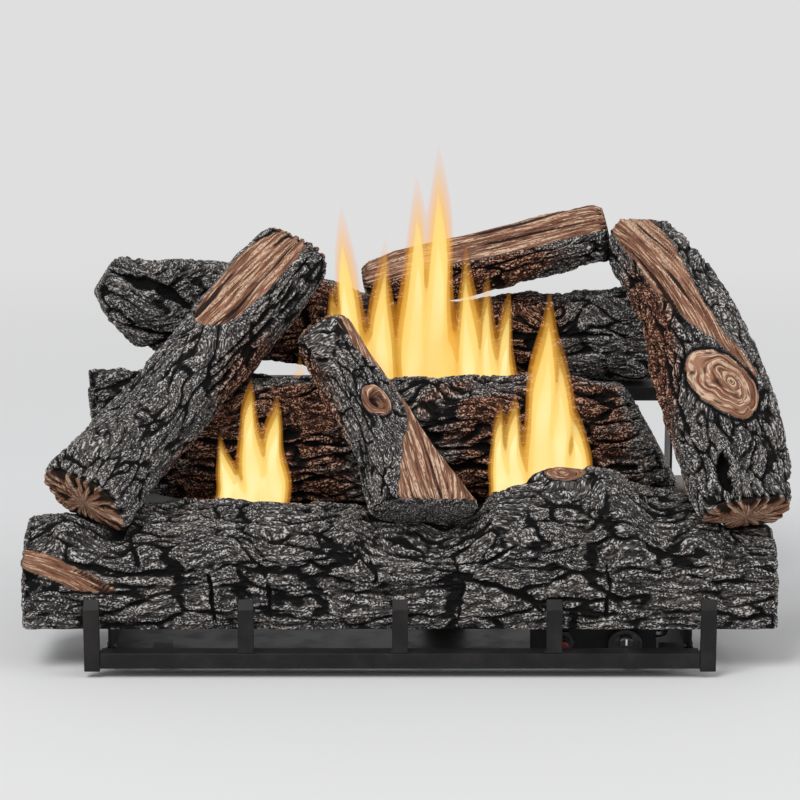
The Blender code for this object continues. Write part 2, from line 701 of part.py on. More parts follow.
def trunk_rings(spine, half_width, half_height, sections, count, phase, **shape):
    """Rings of points round a log. Point 0 is on its side, and the first half runs over its top."""
    square = shape.get("square", SQUARENESS)
    rings = []
    for at in stations(count, sections):
        width, height, lean = between(sections, at)
        centre = spine_point(spine, at)
        small = 0.5 / count
        way = spine_point(spine, min(1, at + small)) - spine_point(spine, max(0, at - small))
        way.normalize()
        side = way.cross(Vector((0, 0, 1))).normalized()
        turn_share = shape.get("foot_turn", 0) * max(0, 1 - at / FOOT_TURN_SHARE)
        side = side.lerp(Vector((1, 0, 0)), turn_share).normalized()
        up = side.cross(way).normalized()
        ring = []
        for i in range(LOG_SIDES):
            turn = 2 * math.pi * i / LOG_SIDES
            across = math.copysign(abs(math.cos(turn)) ** (2 / square), math.cos(turn))
            over = math.copysign(abs(math.sin(turn)) ** (2 / square), math.sin(turn))
            stand = 1 + bark(turn, at, phase) * BARK_DEPTH / half_width
            if "knot" in shape:
                stand += knot_height(shape["knot"], at, turn, spine, half_width)
            across *= stand
            over *= stand
            if "split" in shape:
                across, over = split_face(shape["split"], at, across, over)
            spot = centre + side * across * half_width * width + up * over * half_height * height
            spot += way * lean * over * half_height
            if "bed" in shape:
                spot.z = max(spot.z, shape["bed"])
            ring.append(spot)
        rings.append(ring)
    return rings


def knot_height(knot, at, turn, spine, radius):
    """How far a sawn-off branch stub lifts the bark at one place, in shares of the radius."""
    along_share, direction, long_share, wide_share, height_share = knot
    length = sum((b - a).length for a, b in zip(spine, spine[1:]))
    along = (at - along_share) * length / (long_share * radius)
    round_it = math.remainder(turn - math.radians(direction), 2 * math.pi) / wide_share
    far = math.hypot(along, round_it)
    return height_share / (1 + math.exp(9 * (far - 1)))


def split_face(split, at, across, over):
    """Flattens a section where the wood is split off."""
    direction, depths = split
    limit = between(depths, at)[0]
    flat_x, flat_y = math.cos(math.radians(direction)), math.sin(math.radians(direction))
    past = max(0, across * flat_x + over * flat_y - limit)
    return across - past * flat_x, over - past * flat_y


def front_rings():
    """Rings of the front log, each its side outline at one share along it."""
    rings = []
    outline = FRONT_OVER_SHARES + FRONT_UNDER_SHARES
    for at in stations(FRONT_RING_COUNT, FRONT_RIDGE_SHARES, ((END_LENGTH_SHARE,), (1 - END_LENGTH_SHARE,))):
        ridge = between(FRONT_RIDGE_SHARES, at)[0]
        inset = END_INSET_SHARE if at in (0, 1) else 0
        ring = []
        for i, (deep_share, high_share) in enumerate(outline):
            deep = 0.5 + (deep_share - 0.5) * (1 - inset)
            high = high_share * (1 - inset) if high_share else 0
            turn = 2 * math.pi * i / len(outline)
            stand = bark(turn, 3 * at, 1.3) * BARK_DEPTH * min(1, 2 * high_share)
            ring.append(
                Vector(
                    (
                        (at - 0.5) * FRONT_LOG_LENGTH,
                        FRONT_LOG_Y + deep * FRONT_LOG_DEPTH + stand * math.copysign(1, deep - 0.5),
                        FRONT_BED_Z + high * ridge * FRONT_LOG_HEIGHT + stand * high_share,
                    )
                )
            )
        rings.append(ring)
    return rings


def furrow(turn, along, phase):
    """How deep in a furrow of the bark a place is, 0 to 1, at a direction and a share along."""
    wander = 0.9 * math.sin(9 * along + phase) + 0.6 * math.sin(21 * along - phase)
    lengthways = abs(math.sin(3.5 * turn + phase + wander))
    slant = 1.4 * math.sin(2 * turn + phase) + 0.5 * math.sin(5 * turn - phase)
    crossways = abs(math.sin(17 * along + phase + slant))
    return max((1 - lengthways) ** 1.5, (1 - crossways) ** 2)


def furrowed(rings, bed_z, phase):
    """The same log in finer rings, with its main furrows sunk into the bark above its bed."""
    middle = rings[len(rings) // 2]
    splits = [
        max(1, round((middle[i - len(middle) + 1] - spot).length / FURROW_GIRTH_STEP))
        for i, spot in enumerate(middle)
    ]
    fine = []
    for low, high in zip(rings, rings[1:]):
        gap = (sum(high, Vector()) - sum(low, Vector())).length / len(low)
        steps = max(1, round(gap / FURROW_RUN_STEP))
        fine += [[a.lerp(b, k / steps) for a, b in zip(low, high)] for k in range(steps)]
    fine.append(rings[-1])
    start = sum(rings[0], Vector()) / len(middle)
    length = (sum(rings[-1], Vector()) / len(middle) - start).length
    carved = []
    for ring in fine:
        centre = sum(ring, Vector()) / len(ring)
        along = (centre - start).length / length
        row = []
        for i, spot in enumerate(ring):
            after = ring[i - len(ring) + 1]
            row += [spot.lerp(after, k / splits[i]) for k in range(splits[i])]
        for i, spot in enumerate(row):
            out = spot - centre
            turn = math.atan2(out.z, out.y)
            raised = min(1, max(0, spot.z - bed_z) / FURROW_FADE)
            depth = FURROW_DEPTH * furrow(turn, along, phase) * raised
            row[i] = spot - out.normalized() * depth
        carved.append(row)
    return carved


def loft(rings):
    """A closed skin through rings with the same number of points."""
    shape = bmesh.new()
    rows = [[shape.verts.new(spot) for spot in ring] for ring in rings]
    for low, high in zip(rows, rows[1:]):
        for i in range(len(low)):
            j = (i + 1) % len(low)
            shape.faces.new((low[i], low[j], high[j]))
            shape.faces.new((low[i], high[j], high[i]))
    shape.faces.new(rows[0])
    shape.faces.new(rows[-1])
    bmesh.ops.recalc_face_normals(shape, faces=shape.faces)
    return shape


def shadow(name, rings, over_count, rises=False):
    """A cutter for what rests on a log: the log's outline, grown by the seat gap and carried down
    to the floor, so that what rests there lifts straight up. With rises, it is the log's lower
    outline carried up instead, for a log that is cut by what lies on it."""
    grown = []
    middle_x = (rings[0][0].x + rings[-1][0].x) / 2
    for i, ring in enumerate(rings):
        low_y = min(spot.y for spot in ring) - LOG_SEAT_GAP
        high_y = max(spot.y for spot in ring) + LOG_SEAT_GAP
        centre = sum(ring, Vector()) / len(ring)
        kept = ring[over_count - 1 :] + ring[:1] if rises else ring[:over_count]
        chain = []
        for spot in kept:
            out = Vector((0, spot.y - centre.y, spot.z - centre.z)).normalized() * LOG_SEAT_GAP
            chain.append(spot + out)
        ends_y = (high_y, low_y) if rises else (low_y, high_y)
        chain[0].y, chain[-1].y = ends_y
        if i in (0, len(rings) - 1):
            side = math.copysign(1, centre.x - middle_x)
            end_x = side * max(side * spot.x for spot in ring) + side * LOG_SEAT_GAP
            for spot in chain:
                spot.x = end_x
        away_z = 2 * centre.z if rises else 0
        for end in (chain[-1], chain[0]):
            chain_end = end.copy()
            chain_end.z = away_z
            chain.append(chain_end)
        grown.append(chain)
    return cutter(name, loft(grown))


def screw(name, origin, turn, length=SCREW_LENGTH):
    """A pan-head screw whose head's seat is at its origin and whose head points along local +Z."""
    profile = (
        (0, SCREW_HEAD_LENGTH - SCREW_DRIVE_DEPTH),
        (SCREW_DRIVE_RADIUS, SCREW_HEAD_LENGTH - SCREW_DRIVE_DEPTH),
        (SCREW_DRIVE_RADIUS, SCREW_HEAD_LENGTH),
        (SCREW_HEAD_RADIUS - SCREW_HEAD_LENGTH / 3, SCREW_HEAD_LENGTH),
        (SCREW_HEAD_RADIUS, SCREW_HEAD_LENGTH * 2 / 3),
        (SCREW_HEAD_RADIUS, 0),
        (SCREW_RADIUS, 0),
        (SCREW_RADIUS, -length),
        (0, -length),
    )
    return turned(name, profile, origin, turn, ZINC, steps=SMALL_STEPS)


def circle(across, up, radius, steps=TURNED_STEPS):
    """Points round a hole."""
    turns = [2 * math.pi * i / steps for i in range(steps)]
    return [(across + radius * math.cos(t), up + radius * math.sin(t)) for t in turns]


def notch(across, up, radius):
    """Points of a half-round saddle, open at the top, from its left lip to its right lip."""
    turns = [math.pi + math.pi * i / NOTCH_STEPS for i in range(NOTCH_STEPS + 1)]
    return [(across + radius * math.cos(t), up + radius * math.sin(t)) for t in turns]


def make_grate():
    """The rail, an angle with its corner up front, the five uprights and the two brackets."""
    inner_y = RAIL_FRONT_Y + RAIL_WALL
    under_z = RAIL_TOP_Z - RAIL_WALL
    angle = (
        (RAIL_FRONT_Y, RAIL_CLEARANCE),
        (inner_y, RAIL_CLEARANCE),
        (inner_y, under_z),
        (RAIL_BACK_Y, under_z),
        (RAIL_BACK_Y, RAIL_TOP_Z),
        (RAIL_FRONT_Y, RAIL_TOP_Z),
    )
    plate("grate_rail", angle, -RAIL_X, RAIL_X, "X", BLACK_PAINT)
    lean_y = math.sin(UPRIGHT_TIP_ANGLE)
    lean_z = math.cos(UPRIGHT_TIP_ANGLE)
    bend_z = RAIL_TOP_Z + UPRIGHT_HEIGHT
    inner_bend_z = bend_z - UPRIGHT_THICKNESS * math.tan(UPRIGHT_TIP_ANGLE / 2)
    tip_y = RAIL_FRONT_Y + UPRIGHT_TIP_LENGTH * lean_y
    tip_z = bend_z + UPRIGHT_TIP_LENGTH * lean_z
    for i in range(UPRIGHT_COUNT):
        middle_x = i * UPRIGHT_SPACING - END_UPRIGHT_X
        at_end = i in (0, UPRIGHT_COUNT - 1)
        foot_z = RAIL_CLEARANCE - END_UPRIGHT_DROP if at_end else RAIL_TOP_Z + SEAT_GAP
        outline = (
            (RAIL_FRONT_Y, foot_z),
            (RAIL_FRONT_Y + UPRIGHT_THICKNESS, foot_z),
            (RAIL_FRONT_Y + UPRIGHT_THICKNESS, inner_bend_z),
            (tip_y + UPRIGHT_THICKNESS * lean_z, tip_z - UPRIGHT_THICKNESS * lean_y),
            (tip_y, tip_z),
            (RAIL_FRONT_Y, bend_z),
        )
        low_x = middle_x - UPRIGHT_WIDTH / 2
        plate(f"grate_upright_{i + 1}", outline, low_x, low_x + UPRIGHT_WIDTH, "X", BLACK_PAINT)
    seat_z = under_z - SEAT_GAP
    back_y = PAN_FRONT_Y - SEAT_GAP
    for side, middle_x in (("left", LEFT_BRACKET_X), ("right", RIGHT_BRACKET_X)):
        outline = (
            (inner_y + SEAT_GAP, seat_z - BRACKET_THICKNESS),
            (back_y - BRACKET_THICKNESS, seat_z - BRACKET_THICKNESS),
            (back_y - BRACKET_THICKNESS, PAN_THICKNESS),
            (back_y, PAN_THICKNESS),
            (back_y, seat_z),
            (inner_y + SEAT_GAP, seat_z),
        )
        low_x = middle_x - BRACKET_WIDTH / 2
        bracket = plate(f"{side}_rail_bracket", outline, low_x, low_x + BRACKET_WIDTH, "X", BLACK_PAINT)
        screw_z = PAN_LIP_HEIGHT / 2
        head_y = back_y - BRACKET_THICKNESS - SEAT_GAP
        hole = rod_shape(
            (middle_x, head_y - CUT_OVERRUN, screw_z),
            (middle_x, back_y + CUT_OVERRUN, screw_z),
            SCREW_RADIUS + SCREW_CLEARANCE,
        )
        cut(bracket, cutter(f"{side}_bracket_hole", hole))
        screw(f"{side}_bracket_screw", (middle_x, head_y, screw_z), (math.radians(90), 0, 0))


def frame_screw_places():
    """Where the side frames' screws lie: depth and height."""
    screw_z = PAN_THICKNESS + (PAN_LIP_HEIGHT - PAN_THICKNESS) / 2
    return (FRAME_FRONT_Y + SCREW_END_INSET, screw_z), (FRAME_BACK_Y - SCREW_END_INSET, screw_z)


def make_base():
    """The pan, a tray with four lips, and the side frames with a step under each log."""
    outside = cube_shape((-PAN_X, PAN_FRONT_Y, 0), (PAN_X, PAN_BACK_Y, PAN_LIP_HEIGHT))
    lid = [face for face in outside.faces if face.normal.z > 0]
    bmesh.ops.delete(outside, geom=lid, context="FACES_ONLY")
    pan = place("base_pan", outside, (0, 0, 0), BLACK_PAINT)
    walls = pan.modifiers.new("sheet_thickness", "SOLIDIFY")
    walls.thickness = PAN_THICKNESS
    walls.offset = -1
    walls.use_even_offset = True
    holes = bmesh.new()
    hole_radius = SCREW_RADIUS + SCREW_CLEARANCE
    for deep_y, high_z in frame_screw_places():
        for side in (-1, 1):
            start = (side * (PAN_X - PAN_THICKNESS - SEAT_GAP / 2), deep_y, high_z)
            end = (side * (PAN_X + CUT_OVERRUN), deep_y, high_z)
            rod_shape(start, end, hole_radius, holes)
    for middle_x in (LEFT_BRACKET_X, RIGHT_BRACKET_X):
        spot = Vector((middle_x, PAN_FRONT_Y, PAN_LIP_HEIGHT / 2))
        reach = Vector((0, CUT_OVERRUN, 0))
        rod_shape(spot - reach, spot + reach, hole_radius, holes)
    spot = Vector((PILOT_X, PILOT_SCREW_Y, PAN_THICKNESS / 2))
    reach = Vector((0, 0, CUT_OVERRUN))
    rod_shape(spot - reach, spot + reach, hole_radius, holes)
    cut(pan, cutter("pan_holes", holes))

    front_wall_y = FRONT_BURNER_Y - BURNER_RADIUS - SEAT_GAP - BURNER_SADDLE_WALL
    middle_front_y = MIDDLE_LOG_Y + REST_INSET
    middle_back_y = MIDDLE_LOG_BACK_Y - REST_INSET
    rear_front_y = REAR_LOG_Y + REST_INSET
    outline = [
        (FRAME_FRONT_Y, PAN_FLOOR_Z),
        (FRAME_FRONT_Y, FRONT_STEP_Z),
        (front_wall_y, FRONT_STEP_Z),
        (front_wall_y, FRONT_BURNER_Z),
        *notch(FRONT_BURNER_Y, FRONT_BURNER_Z, BURNER_RADIUS + SEAT_GAP),
        (middle_front_y, FRONT_BURNER_Z),
        (middle_front_y, MIDDLE_STEP_Z),
        (middle_back_y, MIDDLE_STEP_Z),
        (middle_back_y, REAR_BURNER_Z),
        *notch(REAR_BURNER_Y, REAR_BURNER_Z, BURNER_RADIUS + SEAT_GAP),
        (rear_front_y, REAR_BURNER_Z),
        (rear_front_y, REAR_STEP_Z),
        (FRAME_BACK_Y, REAR_STEP_Z),
        (FRAME_BACK_Y, PAN_FLOOR_Z),
    ]
    screw_holes = [circle(*spot, hole_radius, SMALL_STEPS) for spot in frame_screw_places()]
    feed_hole = circle(FRONT_BURNER_Y, FEED_Z, TUBE_RADIUS + FEED_HOLE_CLEARANCE, SMALL_STEPS)
    for name, side, holes in (
        ("left_side_frame", -1, screw_holes),
        ("right_side_frame", 1, [*screw_holes, feed_hole]),
    ):
        faces = sorted((side * FRAME_X, side * (FRAME_X + FRAME_THICKNESS)))
        plate(name, outline, *faces, "X", BLACK_PAINT, holes)
    for deep, (deep_y, high_z) in zip(("front", "rear"), frame_screw_places()):
        for name, side in (("left", -1), ("right", 1)):
            spot = (side * (PAN_X + SEAT_GAP), deep_y, high_z)
            screw(f"{name}_frame_{deep}_screw", spot, (0, math.radians(90 * side), 0))


def make_rests():
    """The bar under the front log, the angles under the middle and rear logs, and the log pins."""
    half = FRAME_X + FRAME_THICKNESS + REST_OVERHANG
    low_z = FRONT_STEP_Z + SEAT_GAP
    bar_back_y = FRONT_LOG_BACK_Y - REST_INSET
    box("front_log_rest", (-half, FRAME_FRONT_Y, low_z), (half, bar_back_y, FRONT_REST_TOP_Z), BLACK_PAINT)
    for name, front_y, back_y, top_z in (
        ("middle_log_rest", MIDDLE_LOG_Y + REST_INSET, MIDDLE_LOG_BACK_Y - REST_INSET, MIDDLE_REST_TOP_Z),
        ("rear_log_rest", REAR_LOG_Y + REST_INSET, FRAME_BACK_Y, REAR_REST_TOP_Z),
    ):
        flange_y = front_y - SEAT_GAP
        outline = (
            (flange_y - ANGLE_THICKNESS, top_z - ANGLE_FLANGE),
            (flange_y, top_z - ANGLE_FLANGE),
            (flange_y, top_z - ANGLE_THICKNESS),
            (back_y, top_z - ANGLE_THICKNESS),
            (back_y, top_z),
            (flange_y - ANGLE_THICKNESS, top_z),
        )
        plate(name, outline, -half, half, "X", BLACK_PAINT)


def pin_places():
    """Where the log pins stand: name and seat, for the front and rear logs."""
    front_y = (FRAME_FRONT_Y + FRONT_LOG_BACK_Y - REST_INSET) / 2
    rear_y = (REAR_LOG_Y + REST_INSET + FRAME_BACK_Y) / 2
    places = []
    for log, deep_y, seat_z in (("front", front_y, FRONT_REST_TOP_Z), ("rear", rear_y, REAR_REST_TOP_Z)):
        for side, share in zip(("left", "right"), PIN_SHARES[log]):
            places.append((f"{log}_log_pin_{side}", Vector((share * PIN_SPREAD, deep_y, seat_z))))
    return places


def make_pins():
    """Pins that stand on the rests and locate the front and rear logs."""
    for name, seat in pin_places():
        profile = (
            (0, PIN_LENGTH),
            (PIN_RADIUS - PIN_POINT, PIN_LENGTH),
            (PIN_RADIUS, PIN_LENGTH - PIN_POINT),
            (PIN_RADIUS, 0),
            (0, 0),
        )
        turned(name, profile, seat + Vector((0, 0, SEAT_GAP)), (0, 0, 0), ZINC, steps=SMALL_STEPS)


def pin_holes(log_name):
    """A cutter for the pin holes in one log."""
    holes = bmesh.new()
    for name, seat in pin_places():
        if name.startswith(log_name):
            bottom = seat - Vector((0, 0, CUT_OVERRUN))
            top = seat + Vector((0, 0, PIN_LENGTH + PIN_CLEARANCE + SEAT_GAP))
            rod_shape(bottom, top, PIN_RADIUS + PIN_CLEARANCE, holes)
    return cutter(log_name + "_pin_holes", holes)


def make_burner(name, middle_y, middle_z, centre_shares, count):
    """A burner tube with a closed left end, cross ports on top and air windows at its right end."""
    half = BURNER_LENGTH / 2
    inner = BURNER_RADIUS - BURNER_WALL
    profile = (
        (0, BURNER_END_WALL - half),
        (inner, BURNER_END_WALL - half),
        (inner, half),
        (BURNER_RADIUS, half),
        (BURNER_RADIUS, -half),
        (0, -half),
    )
    burner = turned(name, profile, (0, middle_y, middle_z), (0, math.radians(90), 0), BURNER_STEEL)
    ports = bmesh.new()
    for centre_share in centre_shares:
        for i in range(count):
            port_x = centre_share * BURNER_LENGTH + (i - (count - 1) / 2) * PORT_PITCH
            cube_shape(
                (port_x - PORT_WIDTH / 2, middle_y - PORT_LENGTH / 2, middle_z + BURNER_RADIUS / 2),
                (port_x + PORT_WIDTH / 2, middle_y + PORT_LENGTH / 2, middle_z + BURNER_RADIUS + CUT_OVERRUN),
                ports,
            )
    window_x = half - AIR_WINDOW_INSET
    reach = BURNER_RADIUS + CUT_OVERRUN
    cube_shape(
        (window_x, middle_y - reach, middle_z - AIR_WINDOW_HEIGHT / 2),
        (window_x + AIR_WINDOW_LENGTH, middle_y + reach, middle_z + AIR_WINDOW_HEIGHT / 2),
        ports,
    )
    cut(burner, cutter(name + "_ports", ports))


def make_injector(name, middle_y, middle_z):
    """A brass holder that closes the burner's right end, with its nozzle inside the tube."""
    flange = BURNER_RADIUS
    nozzle_end = -NOZZLE_LENGTH
    profile = (
        (0, HOLDER_LENGTH),
        (HOLDER_RADIUS, HOLDER_LENGTH),
        (HOLDER_RADIUS, HOLDER_FLANGE_LENGTH),
        (flange, HOLDER_FLANGE_LENGTH),
        (flange, 0),
        (NOZZLE_RADIUS, 0),
        (NOZZLE_RADIUS, nozzle_end),
        (NOZZLE_BORE_RADIUS, nozzle_end),
        (NOZZLE_BORE_RADIUS, 0),
        (0, 0),
    )
    spot = (BURNER_LENGTH / 2 + SEAT_GAP, middle_y, middle_z)
    turned(name, profile, spot, (0, math.radians(90), 0), BRASS)


def make_gas_train():
    """Both burners with their injectors, and the tubes that feed them from the valve."""
    make_burner("front_burner", FRONT_BURNER_Y, FRONT_BURNER_Z, FRONT_PORT_SHARES, FRONT_PORT_COUNT)
    make_burner("rear_burner", REAR_BURNER_Y, REAR_BURNER_Z, REAR_PORT_SHARES, REAR_PORT_COUNT)
    make_injector("front_injector", FRONT_BURNER_Y, FRONT_BURNER_Z)
    make_injector("rear_injector", REAR_BURNER_Y, REAR_BURNER_Z)
    holder_end = BURNER_LENGTH / 2 + SEAT_GAP + HOLDER_LENGTH
    out_x = holder_end + SEAT_GAP + TUBE_BEND_RADIUS + TUBE_CLEARANCE
    valve_x = KNOB_X + VALVE_WIDTH / 2 + SEAT_GAP
    turn_x = valve_x + TUBE_BEND_RADIUS + TUBE_CLEARANCE
    feed = (
        (valve_x, VALVE_MIDDLE_Y, CONTROL_Z),
        (turn_x, VALVE_MIDDLE_Y, CONTROL_Z),
        (turn_x, FRONT_BURNER_Y, CONTROL_Z),
        (turn_x, FRONT_BURNER_Y, FEED_Z),
        (out_x, FRONT_BURNER_Y, FEED_Z),
        (out_x, FRONT_BURNER_Y, FRONT_BURNER_Z),
        (holder_end + SEAT_GAP, FRONT_BURNER_Y, FRONT_BURNER_Z),
    )
    tube("front_feed_tube", feed, TUBE_RADIUS, TUBE_BEND_RADIUS, ALUMINIUM)
    middle_x = holder_end - (HOLDER_LENGTH - HOLDER_FLANGE_LENGTH) / 2
    half_y = (FRONT_BURNER_Y + REAR_BURNER_Y) / 2
    feed = (
        (middle_x, FRONT_BURNER_Y + HOLDER_RADIUS + SEAT_GAP, FRONT_BURNER_Z),
        (middle_x, half_y - TUBE_BEND_RADIUS, FRONT_BURNER_Z),
        (middle_x, half_y + TUBE_BEND_RADIUS, REAR_BURNER_Z),
        (middle_x, REAR_BURNER_Y - HOLDER_RADIUS - SEAT_GAP, REAR_BURNER_Z),
    )
    tube("rear_feed_tube", feed, TUBE_RADIUS, TUBE_BEND_RADIUS, ALUMINIUM)


def make_pilot():
    """The pilot on its bracket behind the front burner, with its tube, lead and wire."""
    shelf_front_y = PILOT_SHELF_Y - PILOT_SHELF_DEPTH / 2
    post_y = PILOT_POST_Y
    foot_top_z = PAN_FLOOR_Z + PILOT_THICKNESS
    outline = (
        (shelf_front_y, PILOT_SHELF_Z - PILOT_THICKNESS),
        (post_y - PILOT_THICKNESS, PILOT_SHELF_Z - PILOT_THICKNESS),
        (post_y - PILOT_THICKNESS, PAN_FLOOR_Z),
        (post_y + PILOT_FOOT_DEPTH, PAN_FLOOR_Z),
        (post_y + PILOT_FOOT_DEPTH, foot_top_z),
        (post_y, foot_top_z),
        (post_y, PILOT_SHELF_Z),
        (shelf_front_y, PILOT_SHELF_Z),
    )
    low_x = PILOT_X - PILOT_WIDTH / 2
    bracket = plate("pilot_bracket", outline, low_x, low_x + PILOT_WIDTH, "X", STAINLESS)
    spot = Vector((PILOT_X, PILOT_SCREW_Y, PAN_FLOOR_Z + PILOT_THICKNESS / 2))
    reach = Vector((0, 0, PILOT_THICKNESS))
    hole = rod_shape(spot - reach, spot + reach, SCREW_RADIUS + SCREW_CLEARANCE)
    cut(bracket, cutter("pilot_foot_hole", hole))
    head_z = foot_top_z + SEAT_GAP
    screw("pilot_bracket_screw", (PILOT_X, PILOT_SCREW_Y, head_z), (0, 0, 0), head_z - SEAT_GAP)
    seat_z = PILOT_SHELF_Z + SEAT_GAP
    under_z = PILOT_SHELF_Z - PILOT_THICKNESS - SEAT_GAP
    hood = (
        (0, PILOT_HOOD_HEIGHT),
        (PILOT_HOOD_RADIUS * 0.8, PILOT_HOOD_HEIGHT),
        (PILOT_HOOD_RADIUS, PILOT_HOOD_HEIGHT * 0.9),
        (PILOT_HOOD_RADIUS, PILOT_HOOD_HEIGHT * 0.5),
        (PILOT_NECK_RADIUS, PILOT_HOOD_HEIGHT * 0.4),
        (PILOT_NECK_RADIUS, PILOT_HOOD_HEIGHT * 0.15),
        (PILOT_HOOD_RADIUS, PILOT_HOOD_HEIGHT * 0.1),
        (PILOT_HOOD_RADIUS, 0),
        (0, 0),
    )
    turned("pilot_burner", hood, (PILOT_X, PILOT_SHELF_Y, seat_z), (0, 0, 0), STAINLESS, SMALL_STEPS)
    probe = (
        (0, PROBE_HEIGHT),
        (PROBE_TIP_RADIUS, PROBE_HEIGHT - PROBE_TIP_RADIUS),
        (PROBE_TIP_RADIUS, PROBE_HEIGHT * 0.6),
        (PROBE_RADIUS, PROBE_HEIGHT * 0.55),
        (PROBE_RADIUS, 0),
        (0, 0),
    )
    probe_x = PILOT_X + PILOT_SIDE_PITCH
    turned("thermocouple", probe, (probe_x, PILOT_SHELF_Y, seat_z), (0, 0, 0), COPPER, SMALL_STEPS)
    electrode = (
        (0, ELECTRODE_HEIGHT),
        (ELECTRODE_WIRE_RADIUS, ELECTRODE_HEIGHT),
        (ELECTRODE_WIRE_RADIUS, ELECTRODE_HEIGHT * 0.65),
        (ELECTRODE_RADIUS, ELECTRODE_HEIGHT * 0.6),
        (ELECTRODE_RADIUS, 0),
        (0, 0),
    )
    spark_x = PILOT_X - PILOT_SIDE_PITCH
    turned("igniter_electrode", electrode, (spark_x, PILOT_SHELF_Y, seat_z), (0, 0, 0), CERAMIC, SMALL_STEPS)
    run_y = IGNITER_BACK_Y + 2 * TUBE_BEND_RADIUS
    for name, start_x, run_z, radius, look in (
        ("pilot_gas_tube", PILOT_X, CONTROL_Z - VALVE_HEIGHT / 4, TUBE_RADIUS / 2, ALUMINIUM),
        ("thermocouple_lead", probe_x, CONTROL_Z + VALVE_HEIGHT / 4, LEAD_RADIUS, COPPER),
    ):
        route = (
            (start_x, PILOT_SHELF_Y, under_z),
            (start_x, PILOT_SHELF_Y, run_z),
            (start_x, run_y, run_z),
            (SIDE_TUBE_X, run_y, run_z),
            (SIDE_TUBE_X, VALVE_MIDDLE_Y, run_z),
            (VALVE_LEFT_X - SEAT_GAP, VALVE_MIDDLE_Y, run_z),
        )
        tube(name, route, radius, TUBE_BEND_RADIUS, look)
    wire_y = run_y - TUBE_BEND_RADIUS
    route = (
        (spark_x, PILOT_SHELF_Y, under_z),
        (spark_x, PILOT_SHELF_Y, CONTROL_Z),
        (spark_x, wire_y, CONTROL_Z),
        (IGNITER_X, wire_y, CONTROL_Z),
        (IGNITER_X, IGNITER_BACK_Y + SEAT_GAP, CONTROL_Z),
    )
    tube("igniter_wire", route, LEAD_RADIUS, TUBE_BEND_RADIUS * 0.8, WIRE_JACKET)


